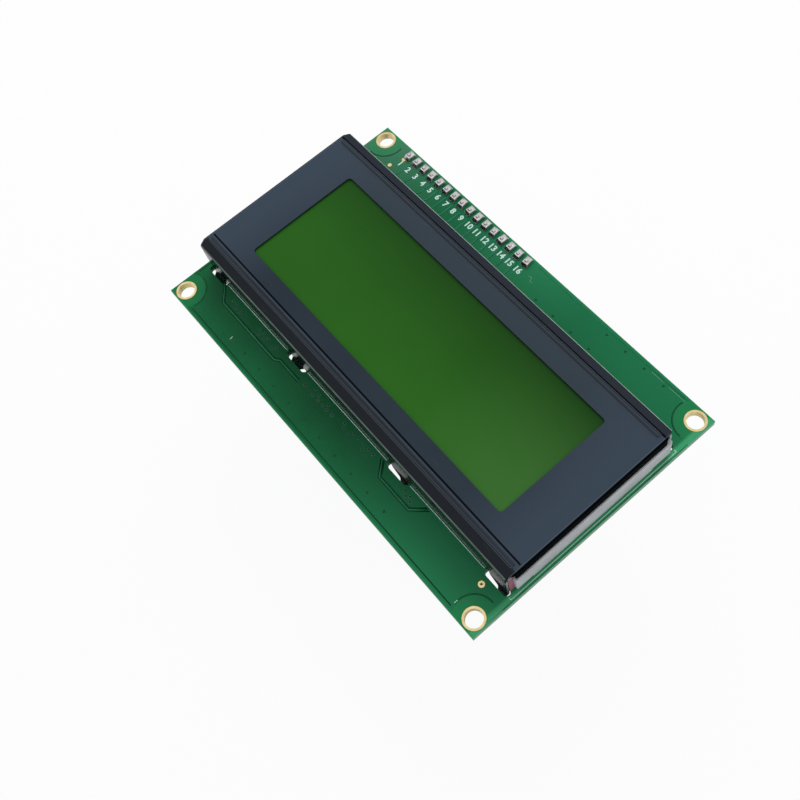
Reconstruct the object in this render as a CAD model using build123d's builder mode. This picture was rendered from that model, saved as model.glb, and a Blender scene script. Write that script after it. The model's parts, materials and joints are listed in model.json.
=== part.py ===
from build123d import *
import math
import os

os.makedirs("parts", exist_ok=True)

# Character display module, millimetres.
# The origin is the centre of the four mounting holes, on the front face of the main board.
# X runs along the rows of characters, Y towards the pin header, Z out of the display.

# Main board
board_length = 98.0
board_width = 60.0
board_thickness = 1.6
board_back = -board_thickness
copper = 0.05

# Mounting holes and their plated rings
hole_margin = 2.5
hole_spacing_x = board_length - 2 * hole_margin
hole_spacing_y = board_width - 2 * hole_margin
hole_diameter = 3.5
ring_diameter = 4.4

# Sheet steel bezel
bezel_end_margin = 1.2
bezel_side_margin = 10.0
bezel_length = board_length - 2 * bezel_end_margin
bezel_width = board_width - 2 * bezel_side_margin
bezel_height = 9.0
sheet = 0.4
bend_outside = 0.5
bend_inside = bend_outside - sheet
wall_foot_gap = 0.12
wall_end_inset = 0.7
corner_length = 0.9
corner_width = 1.95
margin_drop = 0.25
window_end_margin = 9.95
window_side_margin = 7.3
window_length = bezel_length - 2 * window_end_margin
window_width = bezel_width - 2 * window_side_margin
window_corner = 0.8

# Raised beads along both long sides of the bezel
bead_width = 1.3
bead_height = 0.27
bead_inset = 2.7
bead_end_inset = 1.2
bead_flank = 0.3
bead_end = 0.4
bead_groove_width = 0.6
bead_groove_depth = 0.2

# Twisted tabs that hold the bezel, and their slots in the board
tab_width = 5.0
tab_end_inset = 3.3
tab_pitch = 28.2
tab_reach = 2.15
tab_neck = 0.05
tab_twist = 55.0
twist_steps = 5
slot_end_gap = 0.55
slot_side_gap = 0.55
slot_offset = 0.35
slot_end = 0.45
slot_length = tab_width + 2 * slot_end_gap
slot_width = sheet + 2 * slot_side_gap
slot_pad_width = 2.2
slot_pad_gap = 0.1
slot_pad_length = slot_length + 0.2
slot_pad_corner = 1.6

# Display cell: two glasses between two polarisers
glass_thickness = 1.1
glass_gap = 0.1
polariser_thickness = 0.2
polariser_overlap = 1.8
rear_glass_inset = 2.1
glass_length = bezel_length - 2 * (sheet + glass_gap)
front_glass_width = bezel_width - 2 * (sheet + glass_gap)
rear_glass_width = front_glass_width - 2 * rear_glass_inset
glass_top = bezel_height - sheet - margin_drop
glass_joint = glass_top - glass_thickness
cell_bottom = glass_joint - glass_thickness

# Conductive rubber strips between the board and the front glass
zebra_width = 1.0
zebra_gap = 0.05
zebra_end_inset = 0.6
zebra_pocket_inset = 1.6
zebra_centre = front_glass_width / 2 - zebra_width / 2
zebra_south_length = bezel_length - 2 * zebra_end_inset
zebra_north_length = bezel_length - 2 * zebra_pocket_inset

# Moulded backlight housing
housing_overhang = 0.2
housing_floor_bottom = 0.4
housing_corner_lift = 0.55
housing_corner_start = 14.6
housing_corner_depth = 4.0
housing_floor = 1.0
housing_edge = 0.15
flange_gap = 0.25
lug_gap = 0.25
housing_length = bezel_length + 2 * housing_overhang
housing_width = 2 * (zebra_centre - zebra_width / 2 - zebra_gap)
housing_top = cell_bottom
floor_top = housing_floor_bottom + housing_floor
flange_bottom = housing_top + flange_gap
flange_half_width = bezel_width / 2 - corner_width
lug_reach = bezel_width / 2 - sheet - lug_gap
lug_start = zebra_north_length / 2 + zebra_gap
foot_diameter = 3.0
foot_spacing_x = 70.0
foot_spacing_y = 24.0

# Light guide and its films
guide_end_wall = 3.1
guide_side_wall = 2.95
guide_gap = 0.1
film_thickness = 0.15
diffuser_air = 0.25
pocket_length = housing_length - 2 * guide_end_wall
pocket_width = housing_width - 2 * guide_side_wall
guide_length = pocket_length - 2 * guide_gap
guide_width = pocket_width - 2 * guide_gap
guide_bottom = floor_top + film_thickness
diffuser_top = cell_bottom - polariser_thickness - diffuser_air
guide_top = diffuser_top - film_thickness

# Backlight lamps on their own small board at the end of the guide
lamp_wall = 0.7
lamp_board_thickness = 0.8
lamp_board_width = 21.0
lamp_board_height = 4.0
lamp_pocket_gap = 0.3
lamp_thickness = 1.0
lamp_width = 3.0
lamp_height = 1.4
lamp_count = 4
lamp_pitch = 5.0
terminal_thickness = 0.3
terminal_width = 0.8
terminal_spacing = 15.0
terminal_reach = 0.8
terminal_slot_gap = 0.05
terminal_hole = 1.1
lamp_pocket_end = housing_length / 2 - lamp_wall
terminal_x = lamp_pocket_end - terminal_slot_gap - terminal_thickness / 2
lamp_board_x = terminal_x - terminal_thickness / 2 - lamp_board_thickness / 2
lamp_x = lamp_board_x - lamp_board_thickness / 2 - lamp_thickness / 2
lamp_z = (guide_bottom + guide_top) / 2

# Edges of the main board, from which the small things on it are placed
board_east = board_length / 2
board_west = -board_east
board_north = board_width / 2
board_south = -board_north

# Chips under epoxy, on the back of the main board
blob_diameter = 9.2
blob_height = 1.1
blob_sides = 24
blob_top_radius = 3.9
blob_shoulder = 0.45
blob_places = [
    (board_west + 23.8, -9.6),
    (board_west + 30.5, 5.4),
    (5.0, -9.7),
    (8.2, 6.9),
    (board_east - 20.8, 0.0),
]

# Chip resistors, the same size on both boards
chip_length = 2.0
chip_width = 1.25
chip_height = 0.5
chip_solder_length = 0.7
chip_solder_overlap = 0.1
flat_resistor_places = [
    (board_west + 17.5, 0.75),
    (board_west + 17.4, 3.3),
    (board_west + 23.4, 2.3),
]
upright_resistor_places = [(board_east - 8.5, 12.0), (board_east - 4.8, 11.8)]

# Bare pads on both faces of the main board
pad_length = 1.1
pad_width = 1.3
pad_pair_pitch = 2.0
pad_pair_places = [
    (board_west + 7.1, 1.2),
    (board_west + 10.0, -1.8),
    (board_east - 16.9, board_south + 14.3),
]
upright_pad_pair_places = [
    (board_east - 25.8, board_south + 18.4),
    (board_east - 23.7, board_south + 18.4),
    (board_east - 10.8, board_south + 18.4),
]
footprint_place = (board_east - 15.8, board_south + 18.8)
footprint_pitch = 1.27
footprint_span = 5.4
footprint_pad_length = 2.0
footprint_pad_width = 0.6
round_pad_diameter = 1.9
round_pad_gap = 0.25
round_pad_sides = 20
round_pad_places = [
    (board_west + 9.0, board_south + 7.1),
    (board_west + 8.3, board_south + 5.1),
]
fiducial_diameter = 0.9
fiducial_places = [
    (board_west + 8.4, board_north - 6.2),
    (board_west + 9.5, board_north - 3.1),
]
test_pad_diameter = 1.3
test_pad_hole = 0.5
test_pad_place = (board_east - 6.2, board_south + 7.5)
tooling_hole_diameter = 1.2
tooling_hole_places = [
    (11.5 - bezel_length / 2, sheet - bezel_width / 2),
    (bezel_length / 2 - 11.9, bezel_width / 2 - sheet),
]

# Sixteen pin header that joins the adapter to the main board
header_pitch = 2.54
header_count = 16
header_edge = 1.8
header_start = 9.95
header_block = 2.5
header_block_chamfer = 0.5
header_height = 2.54
pin_side = 0.64
pin_chamfer = 0.12
pin_hole_diameter = 1.0
pin_hole_sides = 8
front_pin_reach = 1.15
back_pin_reach = 1.3
header_y = board_north - header_edge
header_first_x = board_west + header_start
header_span = (header_count - 1) * header_pitch

# Solder joints: spread feet that draw in round a pin, with flats for the round form
joint_sides = 8
joint_foot_radius = 0.95
joint_top_radius = 0.62
joint_height = 1.0
low_joint_height = 0.45

# Adapter board behind the header
adapter_thickness = 1.6
adapter_width = 19.0
adapter_west_margin = 1.15
adapter_east_margin = 2.25
adapter_north_margin = 1.4
adapter_front = board_back - header_height
adapter_back = adapter_front - adapter_thickness
adapter_west = header_first_x - adapter_west_margin
adapter_east = header_first_x + header_span + adapter_east_margin
adapter_north = header_y + adapter_north_margin
adapter_south = adapter_north - adapter_width
adapter_length = adapter_east - adapter_west
adapter_x = (adapter_east + adapter_west) / 2
adapter_y = (adapter_north + adapter_south) / 2

# Port expander chip
expander_width = 7.5
expander_length = 10.3
expander_height = 2.3
expander_standoff = 0.2
expander_draft = 7.0
expander_shift = 0.15
expander_north_margin = 9.6
expander_x = adapter_x + expander_shift
expander_y = adapter_north - expander_north_margin
expander_middle = adapter_back - expander_standoff - expander_height / 2
lead_pitch = 1.27
lead_count = 8
lead_width = 0.42
lead_thickness = 0.25
lead_shoulder = 0.45
lead_slope = 0.35
lead_foot = 0.9
dimple_diameter = 1.0
dimple_depth = 0.15
dimple_inset = 1.4

# Contrast trimmer
trimmer_length = 6.6
trimmer_width = 7.0
trimmer_height = 4.7
trimmer_standoff = 0.4
trimmer_foot = 1.2
trimmer_edge = 0.3
trimmer_west_margin = 9.2
trimmer_north_margin = 8.3
trimmer_x = adapter_west + trimmer_west_margin
trimmer_y = adapter_north - trimmer_north_margin
trimmer_top = adapter_back - trimmer_height
rotor_diameter = 2.84
rotor_clearance = 0.03
rotor_depth = 1.4
rotor_sink = 0.15
rotor_slot_width = 0.5
rotor_slot_depth = 0.6
rotor_slot_length = 2.2
trimmer_notch_width = 1.5
trimmer_notch_depth = 0.5
trimmer_notch_height = 2.6
trimmer_pin_diameter = 0.5
trimmer_pin_spread = 2.54
trimmer_pin_reach = 0.8

# Bent pin headers of the adapter
strip_height = 2.54
pin_rise = 1.2
pin_bend = 0.9
pin_tail = 0.8
bus_count = 4
bus_west_margin = 2.05
bus_north_margin = 10.0
bus_pin_reach = 7.25
bus_x = adapter_west + bus_west_margin
bus_y = adapter_north - bus_north_margin
bus_tip_x = bus_x - bus_pin_reach
jumper_count = 2
jumper_east_margin = 1.05
jumper_north_margin = 8.95
jumper_pin_reach = 6.85
jumper_x = adapter_east - jumper_east_margin
jumper_y = adapter_north - jumper_north_margin
jumper_tip_x = jumper_x + jumper_pin_reach
bent_pin_z = adapter_back - strip_height - pin_rise

# Jumper cap and the spring clip inside it
cap_length = 5.7
cap_width = 5.0
cap_height = 2.5
cap_edge = 0.3
cap_start_gap = 2.05
cap_notch_depth = 1.7
cap_notch_width = 2.2
clip_wall = 0.25
clip_clearance = 0.05
clip_length = 3.8
clip_inset = 0.5
clip_seam = 0.6
cap_start_x = jumper_x + cap_start_gap
clip_x = cap_start_x + clip_inset + clip_length / 2
clip_inner_width = (jumper_count - 1) * header_pitch + pin_side + 2 * clip_clearance
clip_inner_height = pin_side + 2 * clip_clearance
clip_outer_width = clip_inner_width + 2 * clip_wall
clip_outer_height = clip_inner_height + 2 * clip_wall

# Small parts on the adapter
chip_pitch = 2.5
west_chips_margin = 7.3
west_chips_row = 1.95
east_chips_margin = 6.7
east_chips_row = 12.4
lower_chip_margin = 8.9
lower_chips_row = 7.6
led_margin = 3.7
capacitor_margin = 11.4
capacitor_height = 1.1
led_height = 0.8
led_edge = 0.15
west_chips_x = adapter_west + west_chips_margin
east_chips_x = adapter_east - east_chips_margin
west_chip_places = [(west_chips_x + i * chip_pitch, adapter_south + west_chips_row) for i in range(3)]
east_chip_places = [(east_chips_x - i * chip_pitch, adapter_north - east_chips_row) for i in range(3)]
lower_chip_place = (adapter_east - lower_chip_margin, adapter_north - lower_chips_row)
adapter_resistor_places = west_chip_places + east_chip_places + [lower_chip_place]
capacitor_place = (adapter_east - capacitor_margin, adapter_north - lower_chips_row)
led_place = (adapter_east - led_margin, adapter_north - east_chips_row)
adapter_chip_places = adapter_resistor_places + [capacitor_place, led_place]
option_pad_length = 1.0
option_pad_width = 1.3
option_pad_pitch = 1.4
option_group_pitch = 4.5
option_group_count = 3
option_shift = 6.2
option_row = 1.3
option_pads_x = adapter_x + option_shift
option_pads_y = adapter_south + option_row

# Places that repeat
slot_x_outer = bezel_length / 2 - tab_end_inset
slot_x_inner = slot_x_outer - tab_pitch
wall_centre = bezel_width / 2 - sheet / 2
slot_centre = wall_centre + slot_offset
slot_pad_centre = slot_centre - slot_width / 2 - slot_pad_gap - slot_pad_width / 2
tab_columns = [-slot_x_outer, -slot_x_inner, slot_x_inner, slot_x_outer]
slot_outline = [
    (-slot_length / 2, slot_end - slot_width / 2),
    (slot_end - slot_length / 2, -slot_width / 2),
    (slot_length / 2 - slot_end, -slot_width / 2),
    (slot_length / 2, slot_end - slot_width / 2),
    (slot_length / 2, slot_width / 2 - slot_end),
    (slot_length / 2 - slot_end, slot_width / 2),
    (slot_end - slot_length / 2, slot_width / 2),
    (-slot_length / 2, slot_width / 2 - slot_end),
]
header_places = [(header_first_x + i * header_pitch, header_y) for i in range(header_count)]
terminal_places = [(terminal_x, -terminal_spacing / 2), (terminal_x, terminal_spacing / 2)]
bus_places = [(bus_x, bus_y + (i - (bus_count - 1) / 2) * header_pitch) for i in range(bus_count)]
jumper_rows = [jumper_y + (i - (jumper_count - 1) / 2) * header_pitch for i in range(jumper_count)]
jumper_places = [(jumper_x, row) for row in jumper_rows]
trimmer_pin_places = [
    (trimmer_x - trimmer_pin_spread, trimmer_y - trimmer_pin_spread / 2),
    (trimmer_x, trimmer_y + trimmer_pin_spread / 2),
    (trimmer_x + trimmer_pin_spread, trimmer_y - trimmer_pin_spread / 2),
]
adapter_pin_places = bus_places + jumper_places + trimmer_pin_places


# Main board: holes for screws, header, backlight terminals and tooling, and eight slots
with BuildPart() as main_board:
    with BuildSketch(Plane.XY.offset(board_back)):
        Rectangle(board_length, board_width)
        with GridLocations(hole_spacing_x, hole_spacing_y, 2, 2):
            Circle(hole_diameter / 2 + copper, mode=Mode.SUBTRACT)
        with Locations(*header_places):
            RegularPolygon(pin_hole_diameter / 2, pin_hole_sides, mode=Mode.SUBTRACT)
        with Locations(*terminal_places):
            RegularPolygon(terminal_hole / 2, pin_hole_sides, mode=Mode.SUBTRACT)
        with Locations(*tooling_hole_places):
            RegularPolygon(tooling_hole_diameter / 2, pin_hole_sides, mode=Mode.SUBTRACT)
        with Locations(test_pad_place):
            RegularPolygon(test_pad_hole / 2, pin_hole_sides, mode=Mode.SUBTRACT)
        for column in tab_columns:
            with Locations((column, -slot_centre), (column, slot_centre)):
                Polygon(*slot_outline, mode=Mode.SUBTRACT)
    extrude(amount=board_thickness)
main_board.part.label = "main_board"
export_step(main_board.part, "parts/main_board.step")

# Plated rings: a barrel through each mounting hole with a flat ring on both faces
with BuildPart() as mounting_rings:
    with BuildSketch(Plane.XY.offset(board_back - copper)):
        with GridLocations(hole_spacing_x, hole_spacing_y, 2, 2):
            Circle(ring_diameter / 2)
    extrude(amount=copper)
    with BuildSketch(Plane.XY.offset(board_back)):
        with GridLocations(hole_spacing_x, hole_spacing_y, 2, 2):
            Circle(hole_diameter / 2 + copper)
    extrude(amount=board_thickness)
    with BuildSketch(Plane.XY):
        with GridLocations(hole_spacing_x, hole_spacing_y, 2, 2):
            Circle(ring_diameter / 2)
    extrude(amount=copper)
    with BuildSketch(Plane.XY.offset(board_back - copper)):
        with GridLocations(hole_spacing_x, hole_spacing_y, 2, 2):
            Circle(hole_diameter / 2)
    extrude(amount=board_thickness + 2 * copper, mode=Mode.SUBTRACT)
mounting_rings.part.label = "mounting_rings"
export_step(mounting_rings.part, "parts/mounting_rings.step")

# Gold pads inboard of each slot, on the back
with BuildPart() as slot_pads:
    for side in (-1, 1):
        for column in tab_columns:
            with BuildSketch(Plane.XY.offset(board_back)) as slot_pad:
                with Locations((column, side * slot_pad_centre)):
                    Rectangle(slot_pad_length, slot_pad_width)
                inboard = slot_pad.vertices().group_by(Axis.Y)[0 if side > 0 else -1]
                fillet(inboard, slot_pad_corner)
            extrude(amount=-copper)
slot_pads.part.label = "slot_pads"
export_step(slot_pads.part, "parts/slot_pads.step")


# The bezel's cross section, moved inwards by a thickness
def bezel_section(inset, foot):
    half = bezel_width / 2 - inset
    crown = bezel_height - inset
    shoulder = flange_half_width
    return [
        (-half, foot),
        (-half, crown - margin_drop),
        (-shoulder, crown),
        (shoulder, crown),
        (half, crown - margin_drop),
        (half, foot),
    ]


# A tab's twisted end: flat triangles between rectangles that turn step by step
def twisted_end(column, row, turn):
    levels = []
    for step in range(twist_steps + 1):
        share = step / twist_steps
        angle = math.radians(turn * share)
        depth = tab_neck + share * (tab_reach - tab_neck)
        corners = []
        for u, v in ((-1, -1), (1, -1), (1, 1), (-1, 1)):
            along = u * tab_width / 2
            across = v * sheet / 2
            x = column + along * math.cos(angle) - across * math.sin(angle)
            y = row + along * math.sin(angle) + across * math.cos(angle)
            corners.append((x, y, board_back - depth))
        levels.append(corners)
    faces = [Face(Wire.make_polygon(levels[0])), Face(Wire.make_polygon(levels[-1][::-1]))]
    for upper, lower in zip(levels, levels[1:]):
        for i in range(4):
            j = (i + 1) % 4
            # Both broad sides are creased along the same diagonal, so the sheet keeps its thickness
            halves = [(upper[i], lower[i], lower[j]), (upper[i], lower[j], upper[j])]
            if i == 2:
                halves = [(upper[i], lower[i], upper[j]), (upper[j], lower[i], lower[j])]
            faces += [Face(Wire.make_polygon(half)) for half in halves]
    return Solid(Shell(faces))


# Bezel: one folded sheet, with a window, two beads, short end flanges and twisted tabs
with BuildPart() as bezel:
    with BuildSketch(Plane.YZ) as outer_section:
        with BuildLine():
            Polyline(*bezel_section(0, wall_foot_gap), close=True)
        make_face()
        fillet(outer_section.vertices().group_by(Axis.Y)[1], bend_outside)
    extrude(amount=bezel_length / 2, both=True)
    top_ends = bezel.edges().filter_by(Axis.Y).group_by(Axis.Z)[-1]
    fillet([e for e in top_ends if abs(e.center().X) > bezel_length / 2 - sheet], bend_outside)
    with BuildSketch(Plane.YZ) as inner_section:
        with BuildLine():
            Polyline(*bezel_section(sheet, 0), close=True)
        make_face()
        fillet(inner_section.vertices().group_by(Axis.Y)[1], bend_inside)
    extrude(amount=bezel_length / 2 - sheet, both=True, mode=Mode.SUBTRACT)
    for end in (-1, 1):
        # Nothing hangs below the flange beyond the ends of the long walls
        with BuildSketch(Plane.XY):
            with Locations((end * bezel_length / 2, 0)):
                Rectangle(2 * wall_end_inset, bezel_width)
        extrude(amount=flange_bottom, mode=Mode.SUBTRACT)
        for side in (-1, 1):
            # The corner is cut out below the top plate, and the plate's corner is cropped
            with BuildSketch(Plane.XY.offset(flange_bottom)):
                with Locations((end * bezel_length / 2, side * bezel_width / 2)):
                    Rectangle(2 * wall_end_inset, 2 * corner_width)
            extrude(amount=bezel_height - bend_outside - flange_bottom, mode=Mode.SUBTRACT)
            with BuildSketch(Plane.XY.offset(flange_bottom)):
                with BuildLine():
                    Polyline(
                        (end * bezel_length / 2, side * flange_half_width),
                        (end * bezel_length / 2, side * bezel_width / 2),
                        (end * (bezel_length / 2 - corner_length), side * bezel_width / 2),
                        close=True,
                    )
                make_face()
            extrude(amount=bezel_height, mode=Mode.SUBTRACT)
    with BuildSketch(Plane.XY.offset(bezel_height - 2 * sheet)):
        RectangleRounded(window_length, window_width, window_corner)
    extrude(amount=3 * sheet, mode=Mode.SUBTRACT)
    for side in (-1, 1):
        bead_y = side * (bezel_width / 2 - bead_inset)
        with BuildSketch(Plane.XY.offset(bezel_height)) as bead:
            with Locations((0, bead_y)):
                Rectangle(bezel_length - 2 * bead_end_inset, bead_width)
            chamfer(bead.vertices(), bead_end)
        extrude(amount=bead_height)
        bead_top = bezel.faces().sort_by(Axis.Z)[-1]
        chamfer(bead_top.edges(), bead_flank, bead_height - copper, reference=bead_top)
        with BuildSketch(Plane.XY.offset(bezel_height - sheet)):
            with Locations((0, bead_y)):
                Rectangle(bezel_length - 2 * bead_end_inset - bead_width, bead_groove_width)
        extrude(amount=bead_groove_depth, mode=Mode.SUBTRACT)
    for side in (-1, 1):
        for column in tab_columns:
            with BuildSketch(Plane.XY.offset(wall_foot_gap)):
                with Locations((column, side * wall_centre)):
                    Rectangle(tab_width, sheet)
            extrude(amount=-(wall_foot_gap + board_thickness + tab_neck))
            turn = tab_twist * side * math.copysign(1, column)
            add(twisted_end(column, side * wall_centre, turn))
bezel.part.label = "bezel"
export_step(bezel.part, "parts/bezel.step")

# Display cell
with BuildPart() as front_polariser:
    with BuildSketch(Plane.XY.offset(glass_top)):
        Rectangle(window_length + 2 * polariser_overlap, window_width + 2 * polariser_overlap)
    extrude(amount=polariser_thickness)
front_polariser.part.label = "front_polariser"
export_step(front_polariser.part, "parts/front_polariser.step")

with BuildPart() as front_glass:
    with BuildSketch(Plane.XY.offset(glass_joint)):
        Rectangle(glass_length, front_glass_width)
    extrude(amount=glass_thickness)
front_glass.part.label = "front_glass"
export_step(front_glass.part, "parts/front_glass.step")

with BuildPart() as rear_glass:
    with BuildSketch(Plane.XY.offset(cell_bottom)):
        Rectangle(glass_length, rear_glass_width)
    extrude(amount=glass_thickness)
rear_glass.part.label = "rear_glass"
export_step(rear_glass.part, "parts/rear_glass.step")

with BuildPart() as rear_polariser:
    with BuildSketch(Plane.XY.offset(cell_bottom - polariser_thickness)):
        Rectangle(window_length + 2 * polariser_overlap, window_width + 2 * polariser_overlap)
    extrude(amount=polariser_thickness)
rear_polariser.part.label = "rear_polariser"
export_step(rear_polariser.part, "parts/rear_polariser.step")

# Conductive rubber strips: the south one runs to the open corners of the bezel
with BuildPart() as zebra_strip_south:
    with BuildSketch(Plane.XY):
        with Locations((0, -zebra_centre)):
            Rectangle(zebra_south_length, zebra_width)
    extrude(amount=glass_joint)
zebra_strip_south.part.label = "zebra_strip_south"
export_step(zebra_strip_south.part, "parts/zebra_strip_south.step")

with BuildPart() as zebra_strip_north:
    with BuildSketch(Plane.XY):
        with Locations((0, zebra_centre)):
            Rectangle(zebra_north_length, zebra_width)
    extrude(amount=glass_joint)
zebra_strip_north.part.label = "zebra_strip_north"
export_step(zebra_strip_north.part, "parts/zebra_strip_north.step")

# Backlight housing: a moulded tray on low feet, with lugs that close the north strip's pocket
with BuildPart() as backlight_housing:
    with BuildSketch(Plane.XY.offset(housing_floor_bottom)):
        Rectangle(housing_length, housing_width)
        for end in (-1, 1):
            with Locations((end * (housing_length / 2 + lug_start) / 2, lug_reach / 2)):
                Rectangle(housing_length / 2 - lug_start, lug_reach)
    extrude(amount=housing_top - housing_floor_bottom)
    upright_corners = backlight_housing.edges().filter_by(Axis.Z)
    chamfer([e for e in upright_corners if abs(e.center().X) > lug_start], housing_edge)
    with BuildSketch(Plane.XY.offset(floor_top)):
        Rectangle(pocket_length, pocket_width)
        with Locations((lamp_pocket_end / 2, 0)):
            Rectangle(lamp_pocket_end, lamp_board_width + 2 * lamp_pocket_gap)
    extrude(amount=housing_top - floor_top, mode=Mode.SUBTRACT)
    with BuildSketch(Plane.XY.offset(housing_floor_bottom)):
        for end in (-1, 1):
            for side in (-1, 1):
                corner_y = side * (housing_corner_start + lug_reach) / 2
                with Locations((end * (housing_length - housing_corner_depth) / 2, corner_y)):
                    Rectangle(housing_corner_depth, lug_reach - housing_corner_start)
    extrude(amount=housing_corner_lift, mode=Mode.SUBTRACT)
    with BuildSketch(Plane.XY.offset(housing_floor_bottom)):
        with Locations(*terminal_places):
            Rectangle(
                terminal_thickness + 2 * terminal_slot_gap, terminal_width + 2 * terminal_slot_gap
            )
    extrude(amount=housing_floor, mode=Mode.SUBTRACT)
    with BuildSketch(Plane.XY):
        with GridLocations(foot_spacing_x, foot_spacing_y, 2, 2):
            RegularPolygon(foot_diameter / 2, joint_sides)
    extrude(amount=housing_floor_bottom)
backlight_housing.part.label = "backlight_housing"
export_step(backlight_housing.part, "parts/backlight_housing.step")

# Reflector, light guide and diffuser, stacked in the housing's pocket
with BuildPart() as reflector_film:
    with BuildSketch(Plane.XY.offset(floor_top)):
        Rectangle(guide_length, guide_width)
    extrude(amount=film_thickness)
reflector_film.part.label = "reflector_film"
export_step(reflector_film.part, "parts/reflector_film.step")

with BuildPart() as light_guide:
    with BuildSketch(Plane.XY.offset(guide_bottom)):
        Rectangle(guide_length, guide_width)
    extrude(amount=guide_top - guide_bottom)
light_guide.part.label = "light_guide"
export_step(light_guide.part, "parts/light_guide.step")

with BuildPart() as diffuser_film:
    with BuildSketch(Plane.XY.offset(guide_top)):
        Rectangle(guide_length, guide_width)
    extrude(amount=film_thickness)
diffuser_film.part.label = "diffuser_film"
export_step(diffuser_film.part, "parts/diffuser_film.step")

# Lamp board, its lamps facing the guide, and the two terminals soldered to the main board
with BuildPart() as led_strip_board:
    with BuildSketch(Plane.XY.offset(floor_top)):
        with Locations((lamp_board_x, 0)):
            Rectangle(lamp_board_thickness, lamp_board_width)
    extrude(amount=lamp_board_height)
led_strip_board.part.label = "led_strip_board"
export_step(led_strip_board.part, "parts/led_strip_board.step")

with BuildPart() as backlight_leds:
    with BuildSketch(Plane.XY.offset(lamp_z - lamp_height / 2)):
        with Locations((lamp_x, 0)):
            with GridLocations(0, lamp_pitch, 1, lamp_count):
                Rectangle(lamp_thickness, lamp_width)
    extrude(amount=lamp_height)
backlight_leds.part.label = "backlight_leds"
export_step(backlight_leds.part, "parts/backlight_leds.step")

with BuildPart() as backlight_terminals:
    with BuildSketch(Plane.XY.offset(board_back - terminal_reach)):
        with Locations(*terminal_places):
            Rectangle(terminal_thickness, terminal_width)
    extrude(amount=floor_top + lamp_board_height / 2 + board_thickness + terminal_reach)
backlight_terminals.part.label = "backlight_terminals"
export_step(backlight_terminals.part, "parts/backlight_terminals.step")


# Cones with flats that stand on a board's face at z, for solder and epoxy
def faceted_cones(places, z, direction, sides, foot, top, height):
    with BuildPart() as cones:
        with BuildSketch(Plane.XY):
            with Locations(*[(x, direction * y) for x, y in places]):
                RegularPolygon(foot, sides)
        lean = (foot - top) * math.cos(math.pi / sides) / height
        extrude(amount=height, taper=math.degrees(math.atan(lean)))
    # A half turn about X points them down, and brings their rows back to their places
    half_turn = 90 - direction * 90
    return Pos(0, 0, z) * Rot(half_turn, 0, 0) * cones.part


# Solder joints of one height on a board's face
def solder_joints(places, z, direction, height):
    return faceted_cones(places, z, direction, joint_sides, joint_foot_radius, joint_top_radius, height)


with BuildPart() as terminal_solder:
    add(solder_joints(terminal_places, board_back, -1, low_joint_height))
    with BuildSketch(Plane.XY.offset(board_back)):
        with Locations(*terminal_places):
            Rectangle(terminal_thickness, terminal_width)
    extrude(amount=-low_joint_height, mode=Mode.SUBTRACT)
terminal_solder.part.label = "terminal_solder"
export_step(terminal_solder.part, "parts/terminal_solder.step")

# Epoxy blobs: low domes over the bare chips
with BuildPart() as epoxy_blobs:
    add(faceted_cones(blob_places, board_back, -1, blob_sides, blob_diameter / 2, blob_top_radius, blob_height))
    chamfer(epoxy_blobs.edges().group_by(Axis.Z)[0], blob_shoulder)
epoxy_blobs.part.label = "epoxy_blobs"
export_step(epoxy_blobs.part, "parts/epoxy_blobs.step")

# Chip resistors on the back of the main board
with BuildPart() as board_resistors:
    with BuildSketch(Plane.XY.offset(board_back)):
        with Locations(*flat_resistor_places):
            Rectangle(chip_length, chip_width)
        with Locations(*upright_resistor_places):
            Rectangle(chip_width, chip_length)
    extrude(amount=-chip_height)
board_resistors.part.label = "board_resistors"
export_step(board_resistors.part, "parts/board_resistors.step")


# A solder fillet in side view: from the pad's far edge up over the end of a chip
def chip_fillet(end, surface):
    face = end * chip_length / 2
    return [
        (face, surface),
        (face + end * chip_solder_length, surface),
        (face + end * chip_solder_length / 3, surface - chip_height * 2 / 3),
        (face, surface - chip_height),
    ]


with BuildPart() as board_resistor_solder:
    for end in (-1, 1):
        for x, y in flat_resistor_places:
            with BuildSketch(Plane.XZ.offset(-y)):
                with BuildLine():
                    Polyline(*[(x + u, v) for u, v in chip_fillet(end, board_back)], close=True)
                make_face()
            extrude(amount=chip_width / 2 + chip_solder_overlap, both=True)
        for x, y in upright_resistor_places:
            with BuildSketch(Plane.YZ.offset(x)):
                with BuildLine():
                    Polyline(*[(y + u, v) for u, v in chip_fillet(end, board_back)], close=True)
                make_face()
            extrude(amount=chip_width / 2 + chip_solder_overlap, both=True)
board_resistor_solder.part.label = "board_resistor_solder"
export_step(board_resistor_solder.part, "parts/board_resistor_solder.step")

# Bare gold pads on the back, and the fiducials and test pad on the front
with BuildPart() as bare_pads:
    with BuildSketch(Plane.XY.offset(board_back)):
        for x, y in pad_pair_places:
            with Locations((x, y)):
                with GridLocations(pad_pair_pitch, 0, 2, 1):
                    Rectangle(pad_length, pad_width)
        for x, y in upright_pad_pair_places:
            with Locations((x, y)):
                with GridLocations(0, pad_pair_pitch, 1, 2):
                    Rectangle(pad_width, pad_length)
        with Locations(footprint_place):
            with GridLocations(footprint_span, footprint_pitch, 2, 4):
                Rectangle(footprint_pad_length, footprint_pad_width)
        for x, y in round_pad_places:
            with Locations((x, y)):
                RegularPolygon(round_pad_diameter / 2, round_pad_sides)
                Rectangle(round_pad_gap, 2 * round_pad_diameter, mode=Mode.SUBTRACT)
    extrude(amount=-copper)
    with BuildSketch(Plane.XY):
        with Locations(*fiducial_places):
            RegularPolygon(fiducial_diameter / 2, round_pad_sides)
        with Locations(test_pad_place):
            RegularPolygon(test_pad_diameter / 2, round_pad_sides)
            RegularPolygon(test_pad_hole / 2, pin_hole_sides, mode=Mode.SUBTRACT)
    extrude(amount=copper)
bare_pads.part.label = "bare_pads"
export_step(bare_pads.part, "parts/bare_pads.step")

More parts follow.
